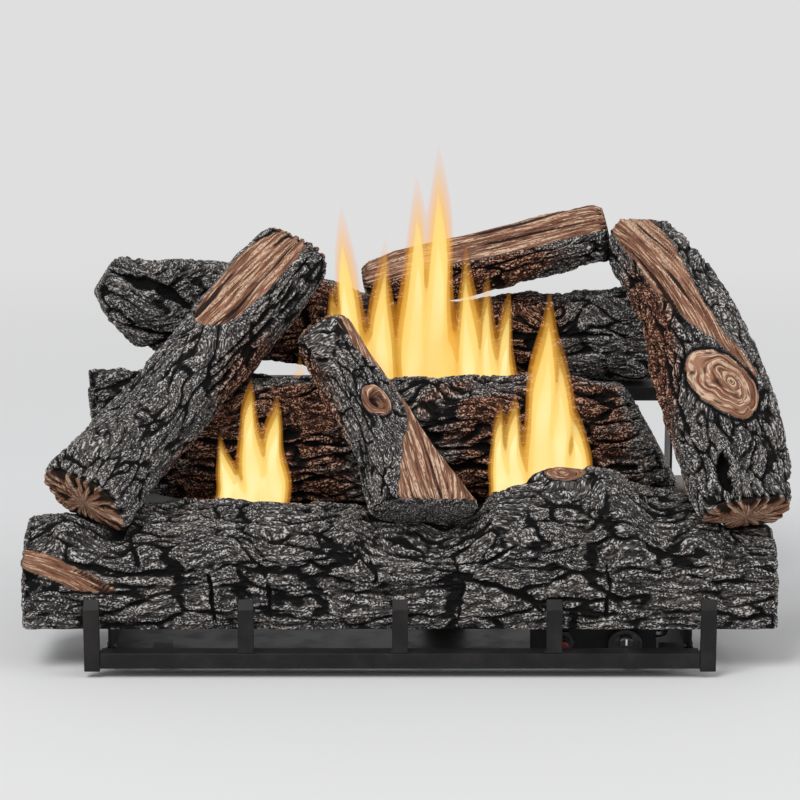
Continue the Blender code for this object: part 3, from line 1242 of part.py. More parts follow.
def make_controls():
    """The control panel on the pan's front lip, with the valve, knob and push-button igniter."""
    panel_left_x = IGNITER_X - PANEL_EDGE_MARGIN
    panel_right_x = RIGHT_BRACKET_X - BRACKET_WIDTH / 2 - PANEL_EDGE_CLEARANCE
    low_z = PAN_THICKNESS
    top_z = FRONT_BED_Z - PANEL_EDGE_CLEARANCE
    corners = ((panel_left_x, low_z), (panel_right_x, low_z), (panel_right_x, top_z), (panel_left_x, top_z))
    holes = [
        circle(KNOB_X, CONTROL_Z, SPINDLE_RADIUS + PANEL_HOLE_CLEARANCE),
        circle(IGNITER_X, CONTROL_Z, IGNITER_NECK_RADIUS + SEAT_GAP),
    ]
    plate("control_panel", corners, PANEL_FRONT_Y, PANEL_BACK_Y, "Y", BLACK_PAINT, holes)

    front = (math.radians(90), 0, 0)
    low = (VALVE_LEFT_X, VALVE_FRONT_Y, CONTROL_Z - VALVE_HEIGHT / 2)
    high = (VALVE_LEFT_X + VALVE_WIDTH, VALVE_BACK_Y, CONTROL_Z + VALVE_HEIGHT / 2)
    valve = box("valve_body", low, high, CAST_ALLOY, VALVE_EDGE)
    bore = SPINDLE_ENGAGEMENT + KNOB_PUSH + CUT_OVERRUN
    start = Vector((KNOB_X, VALVE_FRONT_Y - CUT_OVERRUN, CONTROL_Z))
    end = Vector((KNOB_X, VALVE_FRONT_Y + bore, CONTROL_Z))
    hole = rod_shape(start, end, SPINDLE_RADIUS + SPINDLE_CLEARANCE, steps=TURNED_STEPS)
    cut(valve, cutter("spindle_bore", hole))

    knob_seat = (KNOB_X, KNOB_BACK_Y, CONTROL_Z)
    knob_bore_radius = SPINDLE_RADIUS + SEAT_GAP
    profile = (
        (0, KNOB_LENGTH),
        (KNOB_GRIP_RADIUS - KNOB_EDGE, KNOB_LENGTH),
        (KNOB_GRIP_RADIUS, KNOB_LENGTH - KNOB_EDGE),
        (KNOB_GRIP_RADIUS, KNOB_SKIRT_LENGTH),
        (KNOB_RADIUS - KNOB_EDGE, KNOB_SKIRT_LENGTH),
        (KNOB_RADIUS, KNOB_SKIRT_LENGTH - KNOB_EDGE),
        (KNOB_RADIUS, 0),
        (knob_bore_radius, 0),
        (knob_bore_radius, KNOB_BORE_DEPTH),
        (0, KNOB_BORE_DEPTH),
    )
    knob = turned("control_knob", profile, knob_seat, front, BLACK_PLASTIC)
    sides = bmesh.new()
    for side in (-1, 1):
        edges = sorted((KNOB_X + side * KNOB_GRIP_WIDTH / 2, KNOB_X + side * KNOB_RADIUS))
        cube_shape(
            (edges[0], KNOB_FRONT_Y - CUT_OVERRUN, CONTROL_Z - KNOB_RADIUS),
            (edges[1], KNOB_BACK_Y - KNOB_SKIRT_LENGTH - SEAT_GAP, CONTROL_Z + KNOB_RADIUS),
            sides,
        )
    cut(knob, cutter("knob_grip_sides", sides))
    spindle_front_y = KNOB_BACK_Y - KNOB_BORE_DEPTH + SEAT_GAP
    spindle_back_y = VALVE_FRONT_Y + SPINDLE_ENGAGEMENT
    length = spindle_back_y - spindle_front_y
    profile = ((0, length), (SPINDLE_RADIUS, length), (SPINDLE_RADIUS, 0), (0, 0))
    turned("valve_spindle", profile, (KNOB_X, spindle_back_y, CONTROL_Z), front, BRASS)

    neck_front = VALVE_FRONT_Y - PANEL_FRONT_Y + IGNITER_NUT_LENGTH + IGNITER_NECK_STANDOUT
    bore_radius = BUTTON_STEM_RADIUS + BUTTON_CLEARANCE
    bore_end = neck_front - BUTTON_ENGAGEMENT - BUTTON_TRAVEL - CUT_OVERRUN
    profile = (
        (0, bore_end),
        (bore_radius, bore_end),
        (bore_radius, neck_front),
        (IGNITER_NECK_RADIUS, neck_front),
        (IGNITER_NECK_RADIUS, 0),
        (IGNITER_BODY_RADIUS, 0),
        (IGNITER_BODY_RADIUS, -IGNITER_BODY_LENGTH),
        (0, -IGNITER_BODY_LENGTH),
    )
    igniter_seat = Vector((IGNITER_X, VALVE_FRONT_Y, CONTROL_Z))
    turned("igniter_body", profile, igniter_seat, front, BLACK_PLASTIC)
    nut_back_y = PANEL_FRONT_Y - SEAT_GAP
    flats = circle(IGNITER_X, CONTROL_Z, IGNITER_NUT_RADIUS, steps=6)
    bore = circle(IGNITER_X, CONTROL_Z, IGNITER_NECK_RADIUS + SEAT_GAP)
    plate("igniter_nut", flats, nut_back_y - IGNITER_NUT_LENGTH, nut_back_y, "Y", BLACK_PLASTIC, [bore])
    stem = BUTTON_ENGAGEMENT + BUTTON_TRAVEL
    profile = (
        (0, stem + BUTTON_CAP_LENGTH),
        (BUTTON_RADIUS - BUTTON_EDGE, stem + BUTTON_CAP_LENGTH),
        (BUTTON_RADIUS, stem + BUTTON_CAP_LENGTH - BUTTON_EDGE),
        (BUTTON_RADIUS, stem + SEAT_GAP),
        (BUTTON_STEM_RADIUS, stem + SEAT_GAP),
        (BUTTON_STEM_RADIUS, 0),
        (0, 0),
    )
    button_seat = igniter_seat - Vector((0, neck_front - BUTTON_ENGAGEMENT, 0))
    turned("igniter_button", profile, button_seat, front, RED_PLASTIC, SMALL_STEPS)


def make_gas_inlet():
    """The regulator behind the valve, its cap, nipple and inlet fitting, and the shield over it."""
    back = (math.radians(-90), 0, 0)
    half_height = REGULATOR_HEIGHT / 2
    nipple_length = NIPPLE_LENGTH - 2 * SEAT_GAP
    profile = ((0, nipple_length), (NIPPLE_RADIUS, nipple_length), (NIPPLE_RADIUS, 0), (0, 0))
    nipple_seat = (KNOB_X, VALVE_BACK_Y + SEAT_GAP, CONTROL_Z)
    turned("supply_nipple", profile, nipple_seat, back, BRASS, SMALL_STEPS)
    front_y = VALVE_BACK_Y + NIPPLE_LENGTH
    back_y = front_y + REGULATOR_DEPTH
    low = (KNOB_X - REGULATOR_WIDTH / 2, front_y, CONTROL_Z - half_height)
    high = (KNOB_X + REGULATOR_WIDTH / 2, back_y, CONTROL_Z + half_height)
    box("regulator_body", low, high, CAST_ALLOY, REGULATOR_EDGE)
    cap = (
        (0, CAP_HEIGHT),
        (CAP_RADIUS - CAP_STEP, CAP_HEIGHT),
        (CAP_RADIUS - CAP_STEP, CAP_HEIGHT / 2),
        (CAP_RADIUS, CAP_HEIGHT / 2),
        (CAP_RADIUS, 0),
        (0, 0),
    )
    cap_z = CONTROL_Z + half_height + SEAT_GAP
    turned("regulator_cap", cap, (KNOB_X, (front_y + back_y) / 2, cap_z), (0, 0, 0), CAST_ALLOY)
    inlet = (
        (0, INLET_LENGTH / 3),
        (INLET_BORE_RADIUS, INLET_LENGTH / 3),
        (INLET_BORE_RADIUS, INLET_LENGTH),
        (INLET_RADIUS, INLET_LENGTH),
        (INLET_RADIUS, 0),
        (0, 0),
    )
    turned("gas_inlet_fitting", inlet, (KNOB_X, back_y + SEAT_GAP, CONTROL_Z), back, BRASS)
    outer_x = REGULATOR_WIDTH / 2 + SHIELD_SIDE_CLEARANCE
    inner_x = outer_x - SHIELD_THICKNESS
    top_z = cap_z + CAP_HEIGHT + SHIELD_TOP_CLEARANCE
    outline = (
        (KNOB_X - outer_x, PAN_FLOOR_Z),
        (KNOB_X - inner_x, PAN_FLOOR_Z),
        (KNOB_X - inner_x, top_z - SHIELD_THICKNESS),
        (KNOB_X + inner_x, top_z - SHIELD_THICKNESS),
        (KNOB_X + inner_x, PAN_FLOOR_Z),
        (KNOB_X + outer_x, PAN_FLOOR_Z),
        (KNOB_X + outer_x, top_z),
        (KNOB_X - outer_x, top_z),
    )
    plate("regulator_heat_shield", outline, front_y, back_y, "Y", ALUMINIUM)


def bed_spine(left_x, right_x, middle_y, bed_z, height, rises):
    """The middle line of a log that lies on a rest, from left to right."""
    spine = []
    for i in range(RISE_STEPS + 1):
        at = i / RISE_STEPS
        rise = between(rises, at)[0]
        spine.append(Vector((left_x + at * (right_x - left_x), middle_y, bed_z + (1 + rise) * height / 2)))
    return spine


def make_logs():
    """The seven logs: three on their rests, four laid across them and seated on them."""
    over = LOG_SIDES // 2 + 1
    front = front_rings()
    middle_y = (MIDDLE_LOG_Y + MIDDLE_LOG_BACK_Y) / 2
    middle = trunk_rings(
        bed_spine(
            MIDDLE_LOG_LEFT_X,
            MIDDLE_LOG_RIGHT_X,
            middle_y,
            MIDDLE_LOG_BED_Z,
            MIDDLE_LOG_HEIGHT,
            MIDDLE_RISE_SHARES,
        ),
        MIDDLE_LOG_DEPTH / 2,
        MIDDLE_LOG_HEIGHT / 2,
        MIDDLE_SECTION_SHARES,
        MIDDLE_RING_COUNT,
        2.0,
        bed=MIDDLE_LOG_BED_Z,
    )
    rear_y = (REAR_LOG_Y + REAR_LOG_BACK_Y) / 2
    rear = trunk_rings(
        bed_spine(
            REAR_LOG_LEFT_X,
            REAR_LOG_RIGHT_X,
            rear_y,
            REAR_LOG_BED_Z,
            REAR_LOG_HEIGHT,
            REAR_RISE_SHARES,
        ),
        REAR_LOG_DEPTH / 2,
        REAR_LOG_HEIGHT / 2,
        REAR_SECTION_SHARES,
        REAR_RING_COUNT,
        4.1,
        bed=REAR_LOG_BED_Z,
    )
    left = trunk_rings(
        [
            Vector((LEFT_FOOT_X, FRONT_LOG_Y + LEFT_FOOT_INSET, LEFT_SHELF_Z + LEFT_FOOT_RISE)),
            Vector((LEFT_TOP_X, REAR_LOG_Y + LEFT_TOP_INSET, REAR_TOP_Z + LEFT_TOP_RISE)),
        ],
        LEFT_LOG_RADIUS,
        LEFT_LOG_RADIUS,
        LEFT_SECTION_SHARES,
        CROSSING_RING_COUNT,
        0.7,
        split=LEFT_SPLIT_SHARES,
    )
    right = trunk_rings(
        [
            Vector((RIGHT_FOOT_X, FRONT_LOG_Y + RIGHT_FOOT_INSET, RIGHT_SHELF_Z + RIGHT_FOOT_RISE)),
            Vector((RIGHT_KNEE_X, MIDDLE_LOG_Y + RIGHT_KNEE_INSET, MIDDLE_LOG_BED_Z + RIGHT_KNEE_RISE)),
            Vector((RIGHT_HIP_X, MIDDLE_LOG_Y + RIGHT_HIP_INSET, MIDDLE_TOP_Z + RIGHT_HIP_RISE)),
            Vector((RIGHT_TOP_X, REAR_LOG_Y + RIGHT_TOP_INSET, REAR_TOP_Z + RIGHT_TOP_RISE)),
        ],
        RIGHT_LOG_RADIUS,
        RIGHT_LOG_RADIUS,
        RIGHT_SECTION_SHARES,
        CROSSING_RING_COUNT,
        5.2,
        split=RIGHT_SPLIT_SHARES,
        knot=RIGHT_KNOT_SHARES,
    )
    centre = trunk_rings(
        [
            Vector((CENTRE_FOOT_X, FRONT_LOG_Y + CENTRE_FOOT_INSET, CENTRE_SADDLE_Z + CENTRE_FOOT_RISE)),
            Vector((CENTRE_TOP_X, MIDDLE_LOG_Y + CENTRE_TOP_INSET, MIDDLE_TOP_Z + CENTRE_TOP_RISE)),
        ],
        CENTRE_LOG_RADIUS,
        CENTRE_LOG_RADIUS,
        CENTRE_SECTION_SHARES,
        CROSSING_RING_COUNT,
        3.3,
        split=CENTRE_SPLIT_SHARES,
        knot=CENTRE_KNOT_SHARES,
        foot_turn=0.8,
    )
    top_y = REAR_LOG_Y + TOP_LOG_INSET
    top = trunk_rings(
        [
            Vector((TOP_LOG_LEFT_X, top_y, REAR_TOP_Z + TOP_LOG_LEFT_RISE)),
            Vector((TOP_LOG_RIGHT_X, top_y, REAR_TOP_Z + TOP_LOG_RIGHT_RISE)),
        ],
        TOP_LOG_RADIUS,
        TOP_LOG_RADIUS,
        TOP_SECTION_SHARES,
        TOP_RING_COUNT,
        1.9,
        split=TOP_SPLIT_SHARES,
    )
    logs = {}
    for name, rings in (
        ("front_log", furrowed(front, FRONT_BED_Z, 1.3)),
        ("middle_log", furrowed(middle, MIDDLE_LOG_BED_Z, 2.0)),
        ("rear_log", furrowed(rear, REAR_LOG_BED_Z, 4.1)),
        ("left_crossing_log", left),
        ("right_crossing_log", right),
        ("centre_crossing_log", centre),
        ("top_log", top),
    ):
        seat = sum(rings[0], Vector()) / len(rings[0])
        logs[name] = place(name, loft(rings), seat, CHARRED_BARK, smooth=True)
    cut(logs["front_log"], pin_holes("front_log"))
    cut(logs["rear_log"], pin_holes("rear_log"))
    front_shadow = shadow("front_log_shadow", front, len(FRONT_OVER_SHARES))
    middle_shadow = shadow("middle_log_shadow", middle, over)
    rear_shadow = shadow("rear_log_shadow", rear, over)
    top_shadow = shadow("top_log_shadow", top, over, rises=True)
    for name, tools in (
        ("left_crossing_log", (front_shadow, middle_shadow, rear_shadow)),
        ("centre_crossing_log", (front_shadow, middle_shadow)),
        ("right_crossing_log", (front_shadow, middle_shadow, rear_shadow, top_shadow)),
        ("top_log", (rear_shadow,)),
    ):
        for tool in tools:
            cut(logs[name], tool)


for old in list(bpy.data.objects):
    bpy.data.objects.remove(old, do_unlink=True)
parts = bpy.data.collections.new("gas_log_set")
cutters = bpy.data.collections.new("cutters")
bpy.context.scene.collection.children.link(parts)
bpy.context.scene.collection.children.link(cutters)
make_grate()
make_base()
make_rests()
make_pins()
make_gas_train()
make_pilot()
make_controls()
make_gas_inlet()
make_logs()
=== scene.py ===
import itertools
import math

import bpy
import bmesh
import numpy as np
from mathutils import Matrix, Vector
from mathutils.bvhtree import BVHTree


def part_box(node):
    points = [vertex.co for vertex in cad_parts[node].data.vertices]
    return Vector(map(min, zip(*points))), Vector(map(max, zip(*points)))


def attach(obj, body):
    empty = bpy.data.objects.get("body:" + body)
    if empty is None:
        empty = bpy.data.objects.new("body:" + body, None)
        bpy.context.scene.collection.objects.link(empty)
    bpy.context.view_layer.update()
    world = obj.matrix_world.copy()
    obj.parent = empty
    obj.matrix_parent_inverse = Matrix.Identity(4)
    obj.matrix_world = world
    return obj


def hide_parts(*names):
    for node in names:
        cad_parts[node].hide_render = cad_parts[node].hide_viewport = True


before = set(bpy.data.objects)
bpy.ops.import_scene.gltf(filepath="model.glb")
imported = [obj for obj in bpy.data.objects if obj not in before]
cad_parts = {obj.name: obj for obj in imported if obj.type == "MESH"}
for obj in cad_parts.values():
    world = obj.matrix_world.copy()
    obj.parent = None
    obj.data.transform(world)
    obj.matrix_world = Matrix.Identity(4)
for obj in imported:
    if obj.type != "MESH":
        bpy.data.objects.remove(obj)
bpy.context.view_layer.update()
bpy.context.scene.view_settings.view_transform = "Standard"

# Front log. The real piece is cast in a mould from refractory cement, painted charcoal,
# dry-brushed with white ash and touched with brown where the bark is split off. It stands
# on two pins of its rest.
SEAT_REACH = 0.008
SEAT_GAP = 0.0006
END_CHECKS = 17
BARK_MASKS = ("ridge", "crest", "wood", "ember_paint_and_flame_light")
LOGS = [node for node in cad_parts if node.endswith("_log")]
# How the bark's grain wanders along, across and out of a log: size of the bends, random start
GRAIN_WANDER = ((0.060, 3.1), (0.048, 7.7), (0.048, 1.9))
# Where the flames lick the logs: foot and top of each, and how far it reddens them, partly as ember paint
# and partly as painted flame light
FLAME_BEDS = (
    ((-0.150, -0.030, 0.095), (-0.150, -0.030, 0.200), 0.100),
    ((-0.090, -0.030, 0.095), (-0.090, -0.030, 0.200), 0.085),
    ((0.072, -0.030, 0.095), (0.072, -0.030, 0.200), 0.085),
    ((0.155, -0.030, 0.095), (0.155, -0.030, 0.260), 0.115),
    ((-0.070, 0.061, 0.115), (-0.070, 0.061, 0.290), 0.080),
    ((0.010, 0.061, 0.115), (0.010, 0.061, 0.300), 0.075),
    ((0.085, 0.061, 0.115), (0.085, 0.061, 0.290), 0.085),
)

# Spots and slopes of the moulder's random texture, the same at every run
texture_dice = np.random.default_rng(11)
SHUFFLE = texture_dice.permutation(256)
SPOTS = texture_dice.uniform(0.08, 0.92, (256, 3))
SLOPES = texture_dice.normal(size=(256, 3))
SLOPES /= np.linalg.norm(SLOPES, axis=1)[:, None]


def pick(cell):
    """A number from 0 to 255 that belongs to each cell of the texture."""
    return SHUFFLE[(SHUFFLE[(SHUFFLE[cell[:, 0] & 255] + cell[:, 1]) & 255] + cell[:, 2]) & 255]


def unevenness(at):
    """Smooth random height, about -1 to 1, at places measured in lumps."""
    cell = np.floor(at).astype(int)
    part = at - cell
    ease = part**3 * (part * (part * 6 - 15) + 10)
    height = np.zeros(len(at))
    for corner in itertools.product((0, 1), repeat=3):
        corner = np.array(corner)
        lean = ((part - corner) * SLOPES[pick(cell + corner)]).sum(1)
        height += lean * np.where(corner == 1, ease, 1 - ease).prod(1)
    return height * 1.7


def plate_rim(at):
    """How far each place is from the crack round its bark plate, in plates."""
    cell = np.floor(at).astype(int)
    near = np.full(len(at), 9.0)
    second = np.full(len(at), 9.0)
    for corner in itertools.product((-1, 0, 1), repeat=3):
        beside = cell + np.array(corner)
        far = np.linalg.norm(at - beside - SPOTS[pick(beside)], axis=1)
        second = np.minimum(second, np.maximum(near, far))
        near = np.minimum(near, far)
    return second - near


def rise(value, low, high):
    """0 below low, 1 above high, and an eased slope between."""
    part = np.clip((value - low) / (high - low), 0, 1)
    return part * part * (3 - 2 * part)


def place(name, data):
    """A new object in the scene with a mesh, a lamp or a camera."""
    thing = bpy.data.objects.new(name, data)
    bpy.context.scene.collection.objects.link(thing)
    return thing


def log_skin(node, skin):
    """A fine even skin over a log's solid, its facets softened: object, points, normals, edges,
    and how far each point lies in one of the solid's own furrows, in metres."""
    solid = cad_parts[node]
    thing = place("moulded_" + node, solid.data.copy())
    remesh = thing.modifiers.new("skin", "REMESH")
    remesh.mode = "VOXEL"
    remesh.voxel_size = skin
    seen = thing.evaluated_get(bpy.context.evaluated_depsgraph_get())
    mesh = bpy.data.meshes.new_from_object(seen)
    thing.modifiers.clear()
    thing.data = mesh
    points = np.zeros(len(mesh.vertices) * 3)
    mesh.vertices.foreach_get("co", points)
    points = points.reshape(-1, 3)
    edges = np.zeros(len(mesh.edges) * 2, int)
    mesh.edges.foreach_get("vertices", edges)
    edges = edges.reshape(-1, 2)
    points = even_out(points, edges, 9 if skin > 0.0015 else 14)
    mesh.vertices.foreach_set("co", points.ravel())
    mesh.update()
    normals = np.zeros(len(mesh.vertices) * 3)
    mesh.vertices.foreach_get("normal", normals)
    normals = even_out(normals.reshape(-1, 3), edges, 3)
    hollow = ((even_out(points, edges, 70) - points) * normals).sum(1)
    return thing, points, normals, edges, hollow


def seat_distance(node, points):
    """How far each point of a log is from the nearest of the logs that it touches."""
    far = np.full(len(points), SEAT_REACH)
    for other in LOGS:
        if other == node:
            continue
        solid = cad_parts[other].data
        faces = [face.vertices[:] for face in solid.polygons]
        tree = BVHTree.FromPolygons([spot.co for spot in solid.vertices], faces)
        low, high = (np.array(corner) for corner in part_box(other))
        inside = ((points > low - SEAT_REACH) & (points < high + SEAT_REACH)).all(axis=1)
        for i in np.flatnonzero(inside):
            found = tree.find_nearest(points[i], SEAT_REACH)
            if found[3] is not None:
                far[i] = min(far[i], found[3])
    return far


def even_out(values, edges, times):
    """Moves each value halfway to the mean of its neighbours, several times."""
    a, b = edges[:, 0], edges[:, 1]
    count = np.bincount(edges.ravel(), minlength=len(values))
    for _ in range(times):
        total = np.stack(
            [
                np.bincount(a, values[b, k], len(values)) + np.bincount(b, values[a, k], len(values))
                for k in range(3)
            ],
            axis=1,
        )
        values = (values + total / count[:, None]) / 2
    return values


def spine_line(spine):
    """A log's middle line as close points: places, ways, run along it."""
    spine = [Vector(spot) for spot in spine]
    last = len(spine) - 1
    line = []
    for i in range(201):
        at = i / 200
        step = min(int(at * last), last - 1)
        part = at * last - step
        a, b = spine[step], spine[step + 1]
        before = spine[step - 1] if step else a * 2 - b
        after = spine[step + 2] if step + 2 <= last else b * 2 - a
        blend = 3 * part**2 - 2 * part**3
        leave = (b - before) * (part - 2 * part**2 + part**3) / 2
        arrive = (after - a) * (part**3 - part**2) / 2
        line.append(a * (1 - blend) + b * blend + leave + arrive)
    line = np.array(line)
    way = np.gradient(line, axis=0)
    way /= np.linalg.norm(way, axis=1)[:, None]
    run = np.concatenate(([0], np.cumsum(np.linalg.norm(np.diff(line, axis=0), axis=1))))
    return line, way, run


def along_log(points, spine):
    """Each point as distance along the log, to its side and over it, with the log's way there."""
    line, way, run = spine_line(spine)
    nearest = np.zeros(len(points), int)
    for start in range(0, len(points), 20000):
        some = points[start : start + 20000]
        nearest[start : start + 20000] = ((line**2).sum(1) - 2 * some @ line.T).argmin(1)
    off = points - line[nearest]
    ways = way[nearest]
    side = np.cross(ways, (0, 0, 1))
    side /= np.linalg.norm(side, axis=1)[:, None]
    over = np.cross(side, ways)
    along = run[nearest] + (off * ways).sum(1)
    laid = np.stack([along, (off * side).sum(1), (off * over).sum(1)], axis=1)
    return laid, ways, run[-1]


def run_distance(along, around, start, end):
    """How far each place lies from the run between two points, and its share along the run."""
    run_a, run_b = end[0] - start[0], end[1] - start[1]
    share = ((along - start[0]) * run_a + (around - start[1]) * run_b) / (run_a**2 + run_b**2)
    share = np.clip(share, 0, 1)
    return np.hypot(along - start[0] - share * run_a, around - start[1] - share * run_b), share


def outline_depth(along, around, outline):
    """How far inside a closed outline each place lies, negative outside it."""
    inside = np.zeros(len(along), bool)
    edge = np.full(len(along), 9.0)
    for start, end in zip(outline, outline[1:] + outline[:1]):
        edge = np.minimum(edge, run_distance(along, around, start, end)[0])
        crosses = (start[1] > around) != (end[1] > around)
        rate = (end[0] - start[0]) / (end[1] - start[1] or 1e-9)
        inside ^= crosses & (along < rate * (around - start[1]) + start[0])
    return np.where(inside, edge, -edge)


def path_distance(along, around, path):
    """How far each place lies from a line drawn on the bark, and its share along the line."""
    edge = np.full(len(along), 9.0)
    share = np.zeros(len(along))
    steps = len(path) - 1
    for i, (start, end) in enumerate(zip(path, path[1:])):
        far, part = run_distance(along, around, start, end)
        share = np.where(far < edge, (i + part) / steps, share)
        edge = np.minimum(edge, far)
    return edge, share


def ember_paint_and_flame_light(points, normals):
    """How much each place is reddened near the flames, from 0 to 1, partly as ember paint and partly as
    painted flame light on faces turned to them.
    """
    ember_and_flame_light = np.zeros(len(points))
    for foot, top, reach in FLAME_BEDS:
        foot, top = np.array(foot), np.array(top)
        part = np.clip((points - foot) @ (top - foot) / ((top - foot) ** 2).sum(), 0, 1)
        away = foot + part[:, None] * (top - foot) - points
        far = np.linalg.norm(away, axis=1)
        facing = (away * normals).sum(1) / np.maximum(far, 1e-6)
        near = 1 - rise(far, 0.40 * reach, reach)
        ember_and_flame_light = np.maximum(ember_and_flame_light, near * rise(facing, -0.25, 0.50))
    return ember_and_flame_light


def mould_log(node, body, spine, skin, girth, seed, **carving):
    """Carves bark, cracks, split wood, knots and end grain into a log and paints their masks.
    Outlines and paths are in metres along the log and degrees round it, times the girth radius."""
    thing, points, normals, edges, hollow = log_skin(node, skin)
    laid, ways, length = along_log(points, spine)
    along, side, over = laid.T
    around = np.arctan2(over, side)
    reach = np.hypot(side, over)
    ember_and_flame_light = ember_paint_and_flame_light(points, normals)
    beside_log = seat_distance(node, points)
    end_face = rise(np.abs((normals * ways).sum(1)), 0.62, 0.86)
    end_face *= 1 - rise(np.minimum(along, length - along), 0.004, 0.016)
    mould = laid + seed

    # the bark: its grain wanders, more so toward the top, then plates, ridges and fibres
    long, wide, depth = carving["plates"]
    wander = [unevenness(mould / size + shift) for size, shift in GRAIN_WANDER]
    wander = np.stack(wander, axis=1)
    swirl = 0.35 + 1.15 * rise(around, math.radians(-20), math.radians(40))
    flow = mould + wander * swirl[:, None] * np.array((0.010, 0.0125, 0.0125))
    flow = flow + unevenness(mould / 0.011)[:, None] * np.array((0.003, 0.0012, 0.0012))
    plates = flow / np.array((long, wide, wide))
    rims = plate_rim(plates)
    crack = 1 - rise(rims, 0.0, 0.20)
    small = 1 - rise(plate_rim(plates * 2.3 + 5), 0.0, 0.30)
    doming = 1 - rise(rims, 0.0, 0.75)
    fibre_long, fibre_wide, fibre_depth = carving["fibres"]
    fibre = np.abs(unevenness(flow / np.array((fibre_long, fibre_wide, fibre_wide)) + 9.3))
    valley = 1 - rise(fibre, 0.0, 0.50)
    lumps = unevenness(mould / np.array((0.05, 0.022, 0.022)) + 4.4)
    charred = 1 + 0.7 * ember_and_flame_light
    patch = 0.25 + 0.75 * rise(unevenness(mould / 0.030 + 2.2), -0.45, 0.35)
    cut = depth * charred * patch * crack
    cut += 0.35 * depth * charred * small * rise(unevenness(mould / 0.024 + 6.6), -0.3, 0.5)
    cut += 0.30 * depth * doming + fibre_depth * valley
    cut += 0.0018 * rise(-lumps, 0.0, 0.9)
    # darker in the solid's own furrows: painted shade
    furrow_shade = rise(hollow, 0.0010, 0.0034)
    # ridge is low in plate cracks and fibre valleys, which the paint turns dark as painted shade
    ridge = 1 - np.clip(0.90 * crack * patch + 0.35 * small + 0.30 * valley, 0, 1)
    ridge *= 1 - 0.50 * furrow_shade
    grain = flow

    for path, width, deep in carving.get("cracks", ()):
        path = [(a / 1000, math.radians(t) * girth) for a, t in path]
        shake = 0.0022 * unevenness(mould / 0.010 + 6.1)
        far, share = path_distance(along, around * girth, path)
        taper = 0.15 + 0.85 * rise(np.minimum(share, 1 - share), 0.0, 0.22)
        groove = 1 - rise((far + shake) / taper, 0.35 * width, width)
        cut = np.maximum(cut, deep * groove)
        # the crack's floor is painted dark as shade
        ridge *= 1 - groove

    # split faces: the bark stands round them like a low rim
    wood = np.zeros(len(points))
    for outline, lean in carving.get("splits", ()):
        outline = [(a / 1000, math.radians(t) * girth) for a, t in outline]
        lean = math.radians(lean)
        run = along * math.cos(lean) + around * girth * math.sin(lean)
        across = around * girth * math.cos(lean) - along * math.sin(lean)
        across = across + 0.0020 * unevenness(mould / np.array((0.045, 0.016, 0.016)) + 2.7)
        straight = np.stack([run, across, 0 * run], axis=1) + seed
        shake = 0.0016 * unevenness(mould / 0.008 + 8.8)
        inside = outline_depth(along, around * girth, outline) + shake
        face = rise(inside, -0.0006, 0.0008)
        lines = unevenness(straight / np.array((0.080, 0.0030, 1)) + 12.0)
        wide_lines = unevenness(straight / np.array((0.110, 0.0080, 1)) + 15.0)
        grooves = 0.0009 * (1 - rise(np.abs(lines), 0.0, 0.30)) + 0.0016 * rise(-wide_lines, 0.15, 0.6)
        grain = np.where(face[:, None] > 0.5, straight, grain)
        cut = cut * (1 - face) + (0.0009 + grooves) * face
        rim = rise(inside, -0.005, -0.001) * (1 - face)
        cut *= 1 - 0.75 * rim
        ridge = ridge * (1 - face) + face * rise(-grooves, -0.0019, 0)
        wood = np.maximum(wood, face)

    # knots: a sawn branch with its rings, or the hole that a branch left
    for knot in carving.get("knots", ()):
        off_along = along - knot["along"] / 1000
        off_around = (around - math.radians(knot["turn"])) * girth
        tilt = math.radians(knot["tilt"])
        major = (off_along * math.cos(tilt) + off_around * math.sin(tilt)) / knot["long"]
        minor = (off_around * math.cos(tilt) - off_along * math.sin(tilt)) / knot["wide"]
        ring = np.hypot(major, minor) + 0.06 * unevenness(mould / 0.009 + 2.0)
        heart = np.hypot(major + 0.18 * (1 - ring), minor + 0.22 * (1 - ring))
        clock = np.arctan2(minor, major)
        turns = heart * knot["rings"] + clock / (2 * math.pi)
        turns = turns + 0.45 * unevenness(mould / 0.012 + 5.5)
        disc = 1 - rise(ring, 0.95, 1.02)
        ditch = rise(ring, 0.94, 1.05) * (1 - rise(ring, 1.06, 1.22))
        rings = 0.5 - 0.5 * np.cos(2 * math.pi * turns)
        strong = rise(unevenness(mould / 0.010 + 7.9), -0.5, 0.4)
        deep = knot["sink"] + 0.0014 * (1 - rings) * strong + knot["hole"] * (1 - rise(ring, 0.30, 0.62))
        cut = cut * (1 - disc) + deep * disc
        cut = np.maximum(cut, knot["ditch"] * ditch)
        # the open heart of a knot hole and the ditch round a knot are painted dark as shade
        open_heart = rise(ring, 0.25, 0.6) if knot["hole"] else 1
        ridge = ridge * (1 - disc) + disc * (1 - 0.85 * (1 - rings) ** 2 * strong) * open_heart
        ridge *= 1 - 0.7 * ditch
        wood = np.maximum(wood * (1 - ditch), disc)
        curl = np.stack([clock * 0.010, turns * knot["wide"] / knot["rings"], 0 * ring], axis=1)
        grain = np.where(disc[:, None] > 0.5, curl + seed, grain)
